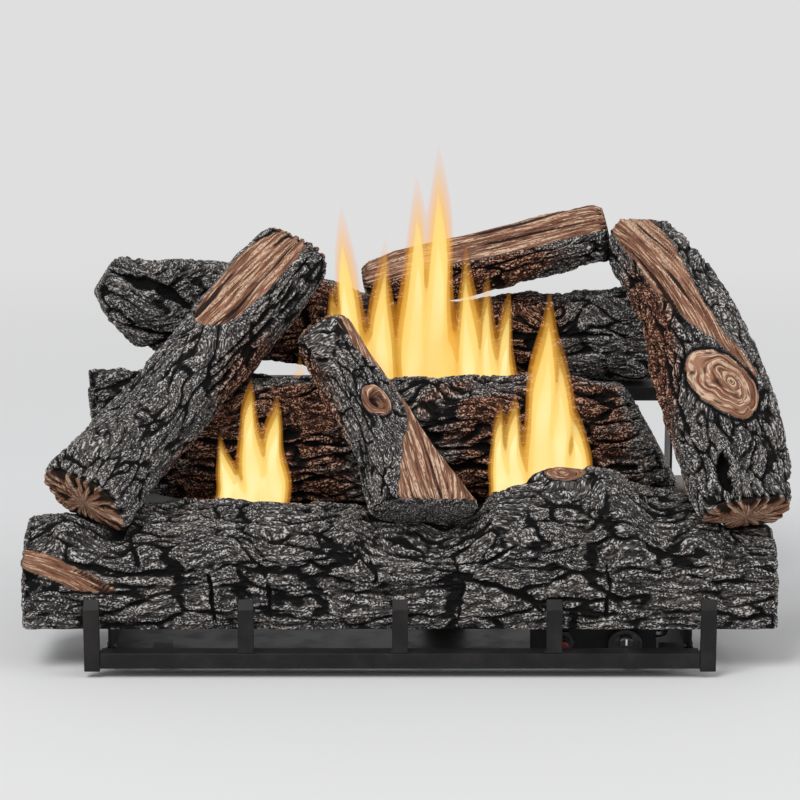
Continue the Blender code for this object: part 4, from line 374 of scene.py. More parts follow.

    # the ends: sawn across, with drying checks that widen from the heart to the rim, painted dark as shade
    rim_share = np.clip(reach / girth, 0, 1.2)
    dial = np.stack([np.cos(around), np.sin(around), rim_share], axis=1)
    spoke = around / (2 * math.pi) * END_CHECKS + 0.8 * unevenness(dial * 1.6 + seed)
    beside = np.abs(spoke - np.round(spoke))
    width = 0.055 + 0.21 * rise(rim_share, 0.15, 0.80)
    strong = 0.45 + 0.55 * rise(SPOTS[np.round(spoke).astype(int) & 255, 1], 0.20, 0.40)
    brown_ends = np.where(along < length / 2, carving["end_wood"][0], carving["end_wood"][1])
    strong = strong * (0.30 + 0.70 * rise(brown_ends, 0.2, 0.6)) * rise(rim_share, 0.20, 0.42)
    checks = (1 - rise(beside, 0.6 * width, 1.4 * width)) * strong
    # the checks darkened as painted shade
    painted_check_shade = (1 - rise(beside, 0.7 * width, 1.6 * width)) * strong
    fine_spoke = dial * np.array((8, 8, 1)) + seed + 30
    fine_checks = 1 - rise(np.abs(unevenness(fine_spoke)), 0.02, 0.30)
    rough_end = 0.0038 * checks + 0.0010 * fine_checks
    rim = 1 - rise(np.minimum(along, length - along), 0.003, 0.009)
    cut += 0.0030 * checks * rim
    ridge *= 1 - 0.9 * painted_check_shade * rim
    cut = cut * (1 - end_face) + rough_end * end_face
    ridge = ridge * (1 - end_face) + end_face * (1 - np.clip(1.05 * painted_check_shade + 0.40 * fine_checks, 0, 1))
    wood = np.maximum(wood * (1 - end_face), end_face * brown_ends)
    radial = np.stack([reach * 0.6, around * 0.045, reach * 0.02], axis=1) + seed
    end_grain = np.where((brown_ends > 0.5)[:, None], radial, mould)
    grain = np.where((end_face > 0.5)[:, None], end_grain, grain)

    above = points[:, 2] - points[:, 2].min()
    bed = rise(-normals[:, 2], 0.2, 0.9) * (1 - rise(above, 0.004, 0.02))
    seat = 1 - rise(beside_log, 0.0010, SEAT_REACH)
    cut = cut * (1 - 0.85 * np.maximum(bed, seat))
    # bark darkened where another log lies close: painted contact shade
    ridge *= 0.30 + 0.70 * rise(beside_log, 0.0010, SEAT_REACH)

    # low swells that meet the logs laid across, where the mould was built up for them
    for swell_along, turn, long, wide, high in carving.get("swells", ()):
        off = np.hypot((along * 1000 - swell_along) / long, (np.degrees(around) - turn) / wide)
        cut -= np.minimum((1 - rise(off, 0.3, 1.0)) * high, np.maximum(beside_log - SEAT_GAP, 0))
    carved = points - normals * cut[:, None]
    crest = ((carved - even_out(carved, edges, 10)) * normals).sum(1)
    crest = 0.5 + np.clip(crest / 0.0010, -0.5, 0.5)
    mesh = thing.data
    mesh.vertices.foreach_set("co", carved.ravel())
    for name, values in zip(BARK_MASKS, (ridge, crest, wood, ember_and_flame_light)):
        mesh.attributes.new(name, "FLOAT", "POINT").data.foreach_set("value", values.astype(np.float32))
    grains = mesh.attributes.new("grain", "FLOAT_VECTOR", "POINT").data
    grains.foreach_set("vector", grain.astype(np.float32).ravel())
    mesh.shade_smooth()
    mesh.materials.clear()
    mesh.materials.append(log_paint)
    mesh.update()
    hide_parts(node)
    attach(thing, body)


def feed(socket, value):
    """Links a socket to an output, or sets it to a number, a vector or a colour."""
    if isinstance(value, bpy.types.NodeSocket):
        socket.id_data.links.new(value, socket)
    elif socket.type == "RGBA":
        socket.default_value = (*value, 1)
    else:
        socket.default_value = value


def add(tree, kind, inputs=(), **settings):
    """A node in a material or group, its settings made and its inputs linked or set."""
    made = tree.nodes.new("ShaderNode" + kind)
    for name, value in settings.items():
        setattr(made, name, value)
    for name, value in dict(inputs).items():
        feed(made.inputs[name], value)
    return made


def math_step(operation, a, b):
    """One sum in a node tree. Each side is a socket or a number, at least one a socket."""
    tree = a.id_data if isinstance(a, bpy.types.NodeSocket) else b.id_data
    return add(tree, "Math", {0: a, 1: b}, operation=operation).outputs[0]


def slope(value, low, high, first=0.0, last=1.0):
    """An eased slope from first to last as a value goes from low to high."""
    ends = {"Value": value, "From Min": low, "From Max": high, "To Min": first, "To Max": last}
    return add(value.id_data, "MapRange", ends, interpolation_type="SMOOTHSTEP").outputs["Result"]


def blend_colour(share, under, upper):
    """Paints an upper colour over an under one by a share."""
    layers = {"Factor": share, "A": under, "B": upper}
    return add(share.id_data, "Mix", layers, data_type="RGBA").outputs["Result"]


def flecks(vector, size, stretch, detail=2.0, roughness=0.55):
    """Random texture, about 0.25 to 0.75, in flecks of a size drawn out along the grain."""
    scale = {0: vector, 1: (1 / (size * stretch), 1 / size, 1 / size)}
    vector = add(vector.id_data, "VectorMath", scale, operation="MULTIPLY").outputs[0]
    return noise(vector, detail, roughness)


def noise(vector, detail, roughness):
    """Random texture, about 0.25 to 0.75, one fleck to each unit of its coordinates."""
    inputs = {"Vector": vector, "Scale": 1.0, "Detail": detail, "Roughness": roughness}
    return add(vector.id_data, "TexNoise", inputs).outputs["Fac"]


def group(name, sockets_in, sockets_out):
    """An empty shader group with named sockets: tree, its inputs and its outputs by name."""
    tree = bpy.data.node_groups.new(name, "ShaderNodeTree")
    kinds = {"vector": "NodeSocketVector", "value": "NodeSocketFloat", "colour": "NodeSocketColor"}
    for label, kind in sockets_in.items():
        tree.interface.new_socket(label, in_out="INPUT", socket_type=kinds[kind])
    for label, kind in sockets_out.items():
        tree.interface.new_socket(label, in_out="OUTPUT", socket_type=kinds[kind])
    return tree, tree.nodes.new("NodeGroupInput").outputs, tree.nodes.new("NodeGroupOutput").inputs


def blank_material(name):
    """A material and its emptied node tree."""
    made = bpy.data.materials.new(name)
    made.use_nodes = True
    made.node_tree.nodes.clear()
    return made, made.node_tree


# the cement's fine skin under all the paint: pebbles and broken strands along the grain
cement_skin, given, put = group(
    "cement_skin",
    {"Grain": "vector"},
    {"Height": "value", "Cloud": "value"},
)
pebbles = flecks(given["Grain"], 0.00115, 1.5, 0.0, 0.5)
strands = flecks(given["Grain"], 0.0018, 6.0, 1.0, 0.5)
pebbles = math_step("MULTIPLY", pebbles, 0.70)
strands = math_step("MULTIPLY", strands, 0.30)
feed(put["Height"], math_step("ADD", pebbles, strands))
cloud = flecks(given["Grain"], 0.020, 1.6, 3.0, 0.6)
feed(put["Cloud"], cloud)

# ash: white paint dry-brushed over the crests of that skin, scarcer in the hollows
ash_brush, given, put = group(
    "ash_brush",
    {"Height": "value", "Cloud": "value", "Ridge": "value", "Crest": "value", "Amount": "value"},
    {"Mask": "value"},
)
level = math_step("SUBTRACT", 0.780, math_step("MULTIPLY", given["Ridge"], 0.040))
level = math_step("SUBTRACT", level, math_step("MULTIPLY", given["Crest"], 0.150))
level = math_step("SUBTRACT", level, math_step("MULTIPLY", given["Amount"], 0.080))
level = math_step("SUBTRACT", level, math_step("MULTIPLY", given["Cloud"], 0.050))
sharp = slope(given["Height"], level, math_step("ADD", level, 0.070))
kept = slope(given["Ridge"], 0.10, 0.55)
feed(put["Mask"], math_step("MULTIPLY", sharp, kept))

# charred bark: charcoal, near black in cracks, troughs and hollow flanks as painted shade, red near the
# flames as ember paint and painted flame light
charred_bark, given, put = group(
    "charred_bark",
    {"Height": "value", "Cloud": "value", "Ridge": "value", "Crest": "value", "Ember Paint And Flame Light": "value"},
    {"Color": "colour"},
)
cool, warm = (0.070, 0.066, 0.066), (0.160, 0.142, 0.130)
charcoal = blend_colour(slope(given["Cloud"], 0.35, 0.68), cool, warm)
# red for the flames: partly ember paint, partly painted flame light
ember_and_flame_light_colour = blend_colour(slope(given["Height"], 0.42, 0.60), (0.055, 0.016, 0.008), (0.215, 0.069, 0.032))
reddened = math_step("ADD", given["Ember Paint And Flame Light"], math_step("MULTIPLY", given["Cloud"], 0.5))
charcoal = blend_colour(slope(reddened, 0.42, 1.05, 0.0, 0.92), charcoal, ember_and_flame_light_colour)
# the troughs of the skin darkened as painted shade
between = slope(given["Height"], 0.385, 0.490, 0.85, 0.0)
charcoal = blend_colour(between, charcoal, (0.0060, 0.0052, 0.0050))
# hollow flanks darkened as painted shade
painted_flank_shade = slope(given["Crest"], 0.10, 0.50, 0.75, 0.0)
charcoal = blend_colour(painted_flank_shade, charcoal, (0.0080, 0.0072, 0.0070))
# cracks turned near black as painted shade
painted_crevice_shade = slope(given["Ridge"], 0.12, 0.55, 0.97, 0.0)
charcoal = blend_colour(painted_crevice_shade, charcoal, (0.0020, 0.0017, 0.0016))
feed(put["Color"], charcoal)

# split wood: brown with dark grooves and cream streaks along the grain, near black in its cracks as painted
# shade
split_wood, given, put = group(
    "split_wood",
    {"Grain": "vector", "Ridge": "value"},
    {"Color": "colour", "Height": "value"},
)
broad = flecks(given["Grain"], 0.0048, 14.0, 2.0, 0.5)
fine = flecks(given["Grain"], 0.0012, 14.0, 2.0, 0.55)
beads = flecks(given["Grain"], 0.0013, 2.2, 1.0, 0.5)
dark_brown, light_brown = (0.185, 0.080, 0.047), (0.375, 0.188, 0.116)
brown = blend_colour(slope(broad, 0.38, 0.62), dark_brown, light_brown)
brown = blend_colour(slope(fine, 0.36, 0.46, 0.80, 0.0), brown, (0.070, 0.030, 0.018))
streak = slope(broad, 0.555, 0.600)
streak = math_step("MULTIPLY", streak, slope(beads, 0.44, 0.56))
streak = math_step("MAXIMUM", streak, slope(fine, 0.585, 0.630))
brown = blend_colour(math_step("MULTIPLY", streak, 0.85), brown, (0.700, 0.520, 0.370))
# near black where ridge is low, in the wood's grooves, cracks and checks: painted shade
brown = blend_colour(slope(given["Ridge"], 0.10, 0.62, 0.96, 0.0), brown, (0.012, 0.006, 0.004))
feed(put["Color"], brown)
feed(put["Height"], fine)

log_paint, paint = blank_material("log_paint")
masks = {mask: add(paint, "Attribute", attribute_name=mask).outputs["Fac"] for mask in BARK_MASKS}
grain = {"Grain": add(paint, "Attribute", attribute_name="grain").outputs["Vector"]}
skin_coat = add(paint, "Group", grain, node_tree=cement_skin).outputs
relief = {
    "Height": skin_coat["Height"],
    "Cloud": skin_coat["Cloud"],
    "Ridge": masks["ridge"],
    "Crest": masks["crest"],
}
bark_coat = add(paint, "Group", relief | {"Ember Paint And Flame Light": masks["ember_paint_and_flame_light"]}, node_tree=charred_bark)
wood_coat = add(paint, "Group", grain | {"Ridge": masks["ridge"]}, node_tree=split_wood).outputs
ash_coat = add(paint, "Group", relief | {"Amount": 0.6}, node_tree=ash_brush)
# the ash warms near the flames: partly ember paint, partly painted flame light
ash_colour = blend_colour(masks["ember_paint_and_flame_light"], (0.550, 0.530, 0.505), (0.590, 0.345, 0.225))
bark_colour = blend_colour(ash_coat.outputs["Mask"], bark_coat.outputs["Color"], ash_colour)
wood_share = slope(masks["wood"], 0.35, 0.65)
bark_height = math_step("MULTIPLY", skin_coat["Height"], 2.2)
wood_height = math_step("MULTIPLY", wood_coat["Height"], 0.9)
heights = {"Factor": wood_share, "A": bark_height, "B": wood_height}
height = add(paint, "Mix", heights, data_type="FLOAT").outputs["Result"]
bump = add(paint, "Bump", {"Strength": 0.8, "Distance": 0.0010, "Height": height})
cement = {
    "Roughness": 0.80,
    "Specular IOR Level": 0.16,
    "Base Color": blend_colour(wood_share, bark_colour, wood_coat["Color"]),
    "Normal": bump.outputs["Normal"],
}
add(paint, "OutputMaterial", {"Surface": add(paint, "BsdfPrincipled", cement).outputs[0]})

mould_log(
    "front_log", "base",
    ((-0.305, -0.096, 0.085), (0.305, -0.096, 0.085)),
    skin=0.0016, girth=0.048, seed=0.0,
    plates=(0.058, 0.0190, 0.0028),
    fibres=(0.036, 0.0042, 0.0019),
    splits=(
        ([(-4, 5), (22, -10), (45, -21), (73, -23), (77, -18), (70, -13), (45, 4), (25, 20), (5, 34),
          (-4, 36)], -26),
    ),
    cracks=(
        ([(20, 20), (52, 6), (88, -5), (118, -2)], 0.0035, 0.0055),
        ([(85, 42), (92, 20), (96, -4)], 0.0026, 0.0045),
        ([(150, -4), (154, -30), (157, -48)], 0.0026, 0.0060),
        ([(192, 12), (199, -12), (201, -50)], 0.0026, 0.0060),
        ([(282, 14), (286, -8), (283, -22)], 0.0026, 0.0055),
        ([(345, 34), (350, 12), (356, -20), (352, -44)], 0.0026, 0.0055),
        ([(225, 62), (250, 40), (262, 24), (272, 12)], 0.0032, 0.0060),
        ([(300, 30), (330, 12), (372, 10), (398, 30)], 0.0035, 0.0055),
        ([(352, -8), (385, -20), (420, -40)], 0.0035, 0.0055),
        ([(470, 8), (474, -20), (470, -45)], 0.0026, 0.0055),
        ([(536, -6), (560, -14), (600, -12)], 0.0028, 0.0040),
        ([(200, 40), (240, 26), (262, 10)], 0.0028, 0.0045),
    ),
    knots=(
        {"along": 439, "turn": 95, "tilt": 0, "long": 0.017, "wide": 0.0075, "rings": 2.0,
         "sink": 0.0010, "hole": 0.0, "ditch": 0.0030},
    ),
    swells=((298, 118, 48, 60, 0.0070), (50, 108, 44, 60, 0.0060), (566, 66, 24, 36, 0.0050)),
    end_wood=(0.0, 0.0),
)

# Middle log. Moulded like the front log, it lies behind the front flames, so its front is
# reddened, partly as ember paint and partly as painted flame light, and a long crack runs along it.
mould_log(
    "middle_log", "base",
    ((-0.2605, 0.009, 0.165), (0.2175, 0.009, 0.165)),
    skin=0.0018, girth=0.042, seed=0.71,
    plates=(0.052, 0.0170, 0.0030),
    fibres=(0.034, 0.0044, 0.0019),
    cracks=(
        ([(40, 12), (90, 2), (150, -6), (215, -2), (300, -8), (380, -3), (450, -10)], 0.0042, 0.0075),
        ([(230, -28), (300, -36), (400, -30), (460, -34)], 0.0034, 0.0060),
        ([(60, -30), (130, -38), (200, -32)], 0.0034, 0.0060),
    ),
    end_wood=(0.35, 0.0),
)

# Rear log. Moulded like the others and the highest of the three that lie level, with a
# raised broken end at the left and a deep crack that runs in from it.
mould_log(
    "rear_log", "base",
    ((-0.259, 0.114, 0.232), (0.230, 0.114, 0.232)),
    skin=0.0018, girth=0.042, seed=1.37,
    plates=(0.050, 0.0170, 0.0030),
    fibres=(0.034, 0.0044, 0.0019),
    cracks=(
        ([(-6, 78), (30, 62), (52, 56), (72, 45), (90, 34)], 0.0038, 0.0085),
        ([(150, 8), (230, 2), (300, 12), (380, 6), (470, 10)], 0.0042, 0.0070),
        ([(20, 20), (45, 10), (80, 4)], 0.0035, 0.0060),
    ),
    end_wood=(0.0, 0.0),
)

# Left crossing log. Moulded, it leans back over the three level logs and lifts off. An oval
# of split wood shows at its top and sawn, checked end grain at its foot.
mould_log(
    "left_crossing_log", "left_log",
    ((-0.2555, -0.112, 0.1356), (-0.085, 0.071, 0.315)),
    skin=0.0014, girth=0.036, seed=2.05,
    plates=(0.050, 0.0150, 0.0022),
    fibres=(0.026, 0.0042, 0.0011),
    splits=(
        ([(191, 112), (179, 90), (176, 68), (186, 50), (202, 41), (241, 34), (274, 32), (298, 31),
          (306, 50), (307, 78), (303, 100), (288, 113), (250, 119), (212, 121)], 0),
    ),
    cracks=(
        ([(150, 20), (190, 14), (230, 12), (262, 20), (300, 18)], 0.0030, 0.0060),
        ([(120, 2), (150, -6), (200, -2), (240, -10), (290, -4)], 0.0040, 0.0080),
    ),
    end_wood=(1.0, 0.8),
)

# Right crossing log. Moulded as a forked limb: a strip of split wood runs down from its top
# to a sawn branch with its rings, over a deep hollow darkened with painted shade. It lifts off with the top
# log.
mould_log(
    "right_crossing_log", "right_log",
    ((0.279, -0.110, 0.1229), (0.260, -0.050, 0.207), (0.237, 0.010, 0.276), (0.203, 0.100, 0.322)),
    skin=0.0015, girth=0.043, seed=2.83,
    plates=(0.040, 0.0130, 0.0030),
    fibres=(0.022, 0.0042, 0.0014),
    splits=(
        ([(318, 150), (279, 157), (236, 153), (203, 151), (174, 134), (153, 115), (141, 97), (128, 84),
          (112, 74), (97, 69), (95, 63), (112, 61), (129, 67), (147, 82), (172, 93), (209, 90), (263, 72),
          (290, 62), (318, 60)], 10),
    ),
    cracks=(
        ([(46, 122), (32, 128), (10, 125)], 0.0085, 0.0150),
        ([(62, 60), (40, 52), (22, 55)], 0.0030, 0.0050),
        ([(200, 172), (160, 160), (130, 168), (90, 160), (50, 150)], 0.0034, 0.0060),
        ([(250, 176), (220, 182), (180, 178)], 0.0034, 0.0060),
    ),
    knots=(
        {"along": 103, "turn": 104, "tilt": 35, "long": 0.0370, "wide": 0.0240, "rings": 4.5,
         "sink": 0.0012, "hole": 0.0, "ditch": 0.0036},
    ),
    end_wood=(1.0, 0.9),
)

# Centre crossing log. Moulded, with a knot hole in its bark, and the wood laid bare down
# its right side and over its spread foot. It lifts off.
mould_log(
    "centre_crossing_log", "centre_log",
    ((0.022, -0.108, 0.1288), (-0.067, -0.010, 0.261)),
    skin=0.0012, girth=0.028, seed=3.49,
    plates=(0.036, 0.0120, 0.0022),
    fibres=(0.020, 0.0036, 0.0011),
    splits=(
        ([(200, 90), (175, 97), (145, 95), (130, 76), (121, 60), (95, 49), (76, 58), (65, 73), (58, 98),
          (35, 136), (15, 160), (-20, 168), (-40, 60), (-40, -45), (60, -38), (200, -20)], -18),
    ),
    knots=(
        {"along": 95, "turn": 110, "tilt": 0, "long": 0.0150, "wide": 0.0135, "rings": 2.5,
         "sink": 0.0004, "hole": 0.0085, "ditch": 0.0016},
    ),
    end_wood=(0.3, 0.8),
)

# Top log. The smallest, split along its length, so that its upper face is bare wood. It
# lies on the rear log and on the right crossing log's shoulder and lifts off.
mould_log(
    "top_log", "upper_log",
    ((-0.031, 0.100, 0.275), (0.180, 0.100, 0.325)),
    skin=0.0012, girth=0.026, seed=4.21,
    plates=(0.040, 0.0130, 0.0026),
    fibres=(0.022, 0.0040, 0.0013),
    splits=(
        ([(-30, 14), (60, 15), (102, 15), (140, 12), (175, 13), (240, 17), (240, 122), (120, 126),
          (-30, 120)], 0),
    ),
    end_wood=(0.6, 0.8),
)

# Grate. A bent angle for the rail, five flat bars welded to it with their tops bent back,
# and two strap brackets, all steel in satin black stove paint.
BAR_EDGE = 0.0006
WELD_RADIUS = 0.0019
WELD_BACK = 0.0052
WELD_STEP = 0.0006


def with_edges(node, body, finish, edge, name):
    """Dresses a part from its solid: its sharp edges broken, in its finish."""
    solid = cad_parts[node]
    mesh = solid.data.copy()
    shape = bmesh.new()
    shape.from_mesh(mesh)
    bmesh.ops.remove_doubles(shape, verts=shape.verts, dist=0.00001)
    bmesh.ops.dissolve_limit(shape, angle_limit=math.radians(1), verts=shape.verts, edges=shape.edges)
    shape.to_mesh(mesh)
    shape.free()
    mesh.materials.clear()
    mesh.materials.append(finish)
    thing = place(name, mesh)
    if edge:
        bevel = thing.modifiers.new("edge", "BEVEL")
        bevel.width = edge
        bevel.segments = 2
        bevel.limit_method = "ANGLE"
        bevel.angle_limit = math.radians(35)
        bevel.use_clamp_overlap = True
    mesh.shade_smooth()
    mesh.set_sharp_from_angle(angle=math.radians(35))
    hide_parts(node)
    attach(thing, body)


# painted metal: a fine orange-peel skin, dustier and duller in patches
stove_paint, given, put = group(
    "stove_paint",
    {"Place": "vector", "Paint": "colour", "Dust": "colour", "Dull": "value"},
    {"Color": "colour", "Roughness": "value", "Height": "value"},
)
smoke = flecks(given["Place"], 0.030, 1.0, 4.0, 0.6)
peel = flecks(given["Place"], 0.0014, 1.0, 2.0, 0.5)
dusty = math_step("MULTIPLY", slope(smoke, 0.40, 0.72), 0.40)
speck = slope(peel, 0.60, 0.72, 0.0, 0.35)
dusty = math_step("MAXIMUM", dusty, speck)
feed(put["Color"], blend_colour(dusty, given["Paint"], given["Dust"]))
dull = math_step("ADD", given["Dull"], math_step("MULTIPLY", dusty, 0.35))
feed(put["Roughness"], dull)
feed(put["Height"], peel)

# bare metal: fine lines from drawing or turning, stains and a warm tarnish
worked_metal, given, put = group(
    "worked_metal",
    {"Place": "vector", "Metal": "colour", "Tarnish": "colour", "Line Length": "vector", "Dull": "value"},
    {"Color": "colour", "Roughness": "value", "Height": "value"},
)
drawn = {0: given["Place"], 1: given["Line Length"]}
lines = noise(add(worked_metal, "VectorMath", drawn, operation="MULTIPLY").outputs[0], 3.0, 0.6)
stain = flecks(given["Place"], 0.016, 1.0, 4.0, 0.65)
stained = slope(stain, 0.44, 0.70, 0.0, 0.75)
feed(put["Color"], blend_colour(stained, given["Metal"], given["Tarnish"]))
dull = math_step("ADD", given["Dull"], math_step("MULTIPLY", lines, 0.22))
dull = math_step("ADD", dull, math_step("MULTIPLY", stained, 0.20))
feed(put["Roughness"], dull)
feed(put["Height"], lines)


def finish_of(name, coat, metallic, height, gloss=0.5, **values):
    """A material with one of the coats, laid by place on the part."""
    made, tree = blank_material(name)
    values = {label.replace("_", " ").title(): value for label, value in values.items()}
    values["Place"] = add(tree, "TexCoord").outputs["Object"]
    coat = add(tree, "Group", values, node_tree=coat).outputs
    relief = add(tree, "Bump", {"Strength": 0.5, "Distance": height, "Height": coat["Height"]})
    surface = {
        "Metallic": metallic,
        "Specular IOR Level": gloss,
        "Base Color": coat["Color"],
        "Roughness": coat["Roughness"],
        "Normal": relief.outputs["Normal"],
    }
    add(tree, "OutputMaterial", {"Surface": add(tree, "BsdfPrincipled", surface).outputs[0]})
    return made


black_stove_paint = finish_of(
    "black_stove_paint", stove_paint, 0.0, 0.00012, gloss=0.22,
    paint=(0.010, 0.0095, 0.010), dust=(0.044, 0.038, 0.034), dull=0.44,
)
GRATE = ["grate_rail", "left_rail_bracket", "right_rail_bracket"]
GRATE += [f"grate_upright_{i}" for i in range(1, 6)]
for node in GRATE:
    with_edges(node, "base", black_stove_paint, BAR_EDGE, "painted_" + node)


def tube(shape, rings):
    """Adds a closed tube through rings of points to a shape."""
    rows = [[shape.verts.new(spot) for spot in ring] for ring in rings]
    for low, high in zip(rows, rows[1:]):
        for k in range(len(low)):
            shape.faces.new((low[k - 1], low[k], high[k], high[k - 1]))
    shape.faces.new(rows[0])
    shape.faces.new(rows[-1])


def weld_bead(name, start, end):
    """A run of weld with its overlapping ripples, laid in a corner between two points."""
    start, end = Vector(start), Vector(end)
    way = (end - start).normalized()
    side = way.orthogonal().normalized()
    over = way.cross(side)
    steps = max(6, round((end - start).length / WELD_STEP))
    turns = [2 * math.pi * k / 12 for k in range(12)]
    rings = []
    for i in range(steps + 1):
        at = i / steps
        taper = math.sin(4 * math.pi * min(max(0.06, min(at, 1 - at)), 0.125))
        size = WELD_RADIUS * (0.35 + 0.65 * taper) * (0.88 + 0.12 * math.cos(2 * math.pi * i / 3))
        centre = start.lerp(end, at)
        rings.append([centre + side * size * math.cos(t) + over * size * math.sin(t) for t in turns])
    shape = bmesh.new()
    tube(shape, rings)
    bmesh.ops.recalc_face_normals(shape, faces=shape.faces)
    mesh = bpy.data.meshes.new(name)
    shape.to_mesh(mesh)
    shape.free()
    mesh.materials.append(black_stove_paint)
    mesh.shade_smooth()
    bead = place(name, mesh)
    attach(bead, "base")


for i in (2, 3, 4):
    low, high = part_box(f"grate_upright_{i}")
    for end_name, x in (("left", low.x), ("right", high.x)):
        front, back = (x, low.y + WELD_RADIUS, low.z), (x, low.y + WELD_BACK, low.z)
        weld_bead(f"upright_{i}_{end_name}_weld", front, back)
low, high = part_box("grate_rail")
for i, x in ((1, low.x), (5, high.x)):
    front, back = (x, low.y + WELD_RADIUS, high.z), (x, low.y + WELD_BACK, high.z)
    weld_bead(f"upright_{i}_weld", front, back)

# Base pan, side frames, rests and control panel. Folded sheet and angle in the same black
# stove paint, held by screws, which the heat has dulled.
SHEET_EDGE = 0.0003
FINE_EDGE = 0.0002
for node in ("base_pan", "left_side_frame", "right_side_frame", "control_panel"):
    with_edges(node, "base", black_stove_paint, SHEET_EDGE, "painted_" + node)
for node in ("front_log_rest", "middle_log_rest", "rear_log_rest"):
    with_edges(node, "base", black_stove_paint, BAR_EDGE, "painted_" + node)
plated_zinc = finish_of(
    "plated_zinc", worked_metal, 1.0, 0.00005,
    metal=(0.50, 0.50, 0.49), tarnish=(0.24, 0.21, 0.17), line_length=(900, 900, 900), dull=0.30,
)
ZINC_PARTS = [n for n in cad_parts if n.endswith("_screw") or "_pin_" in n]
for node in sorted(ZINC_PARTS):
    with_edges(node, "base", plated_zinc, FINE_EDGE, "plated_" + node)

# Burners. Two drawn steel tubes with slots for the gas, blued and browned by the flames, a
# brass injector in a holder at one end of each, and bent aluminium tubes that feed them.
heated_steel = finish_of(
    "heated_steel", worked_metal, 1.0, 0.00006,
    metal=(0.34, 0.31, 0.29), tarnish=(0.105, 0.070, 0.060), line_length=(60, 1400, 1400), dull=0.34,
)
yellow_brass = finish_of(
    "yellow_brass", worked_metal, 1.0, 0.00004,
    metal=(0.70, 0.50, 0.22), tarnish=(0.38, 0.24, 0.10), line_length=(1500, 1500, 1500), dull=0.24,
)
drawn_aluminium = finish_of(
    "drawn_aluminium", worked_metal, 1.0, 0.00004,
    metal=(0.70, 0.71, 0.72), tarnish=(0.42, 0.42, 0.41), line_length=(700, 700, 700), dull=0.30,
)
for node in ("front_burner", "rear_burner"):
    with_edges(node, "base", heated_steel, SHEET_EDGE, "drawn_" + node)
for node in ("front_injector", "rear_injector"):
    with_edges(node, "base", yellow_brass, SHEET_EDGE, "turned_" + node)
for node in ("front_feed_tube", "rear_feed_tube", "pilot_gas_tube"):
    with_edges(node, "base", drawn_aluminium, 0, "bent_" + node)

# Pilot. A stainless bracket between the front burner and the middle log carries the hooded
# pilot burner, the copper flame probe with its lead, and the spark rod in white ceramic.
brushed_stainless = finish_of(
    "brushed_stainless", worked_metal, 1.0, 0.00004,
    metal=(0.56, 0.55, 0.53), tarnish=(0.30, 0.25, 0.19), line_length=(1400, 200, 200), dull=0.26,
)
copper = finish_of(
    "copper", worked_metal, 1.0, 0.00004,
    metal=(0.68, 0.33, 0.20), tarnish=(0.26, 0.11, 0.07), line_length=(900, 900, 900), dull=0.28,
)
glazed_ceramic = finish_of(
    "glazed_ceramic", stove_paint, 0.0, 0.00005,
    paint=(0.72, 0.70, 0.64), dust=(0.42, 0.37, 0.30), dull=0.30,
)
wire_jacket = finish_of(
    "wire_jacket", stove_paint, 0.0, 0.00010,
    paint=(0.028, 0.028, 0.028), dust=(0.080, 0.074, 0.068), dull=0.50,
)
for node, finish, slot in (
    ("pilot_bracket", brushed_stainless, "stainless"),
    ("pilot_burner", brushed_stainless, "stainless"),
    ("thermocouple", copper, "copper"),
    ("thermocouple_lead", copper, "copper"),
    ("igniter_electrode", glazed_ceramic, "white_ceramic"),
    ("igniter_wire", wire_jacket, "wire_jacket"),
):
    with_edges(node, "base", finish, FINE_EDGE if "bracket" in node else 0, "fitted_" + node)

# Controls and gas inlet. A cast valve with its spindle and moulded knob, a push igniter with
# a red button, and behind them the cast regulator under its folded shield.
CAST_EDGE = 0.0004
KNOB_EDGE = 0.0005
KNOB_MARK_WIDTH = 0.0014
KNOB_MARK_LENGTH = 0.0050
KNOB_MARK_DEPTH = 0.0008
KNOB_MARK_OFFSET = 0.0058
cast_alloy = finish_of(
    "cast_alloy", stove_paint, 1.0, 0.00030,
    paint=(0.47, 0.47, 0.48), dust=(0.26, 0.25, 0.24), dull=0.42,
)
black_plastic = finish_of(
    "black_plastic", stove_paint, 0.0, 0.00008,
    paint=(0.014, 0.014, 0.015), dust=(0.050, 0.048, 0.045), dull=0.34,
)
red_plastic = finish_of(
    "red_plastic", stove_paint, 0.0, 0.00006,
    paint=(0.110, 0.008, 0.006), dust=(0.120, 0.030, 0.024), dull=0.34,
)
white_mark = finish_of(
    "white_mark", stove_paint, 0.0, 0.00006,
    paint=(0.80, 0.80, 0.78), dust=(0.66, 0.65, 0.62), dull=0.45,
)
for node, body, finish, edge, slot in (
    ("valve_body", "base", cast_alloy, CAST_EDGE, "cast_alloy"),
    ("regulator_body", "base", cast_alloy, CAST_EDGE, "cast_alloy"),
    ("regulator_cap", "base", cast_alloy, CAST_EDGE, "cast_alloy"),
    ("regulator_heat_shield", "base", drawn_aluminium, FINE_EDGE, "aluminium"),
    ("supply_nipple", "base", yellow_brass, FINE_EDGE, "brass"),
    ("gas_inlet_fitting", "base", yellow_brass, SHEET_EDGE, "brass"),
    ("valve_spindle", "spindle", yellow_brass, FINE_EDGE, "brass"),
    ("igniter_body", "base", black_plastic, SHEET_EDGE, "black_plastic"),
    ("igniter_nut", "base", black_plastic, SHEET_EDGE, "black_plastic"),
    ("igniter_button", "button", red_plastic, SHEET_EDGE, "red_plastic"),
    ("control_knob", "knob", black_plastic, KNOB_EDGE, "black_plastic"),
):
    with_edges(node, body, finish, edge, "fitted_" + node)

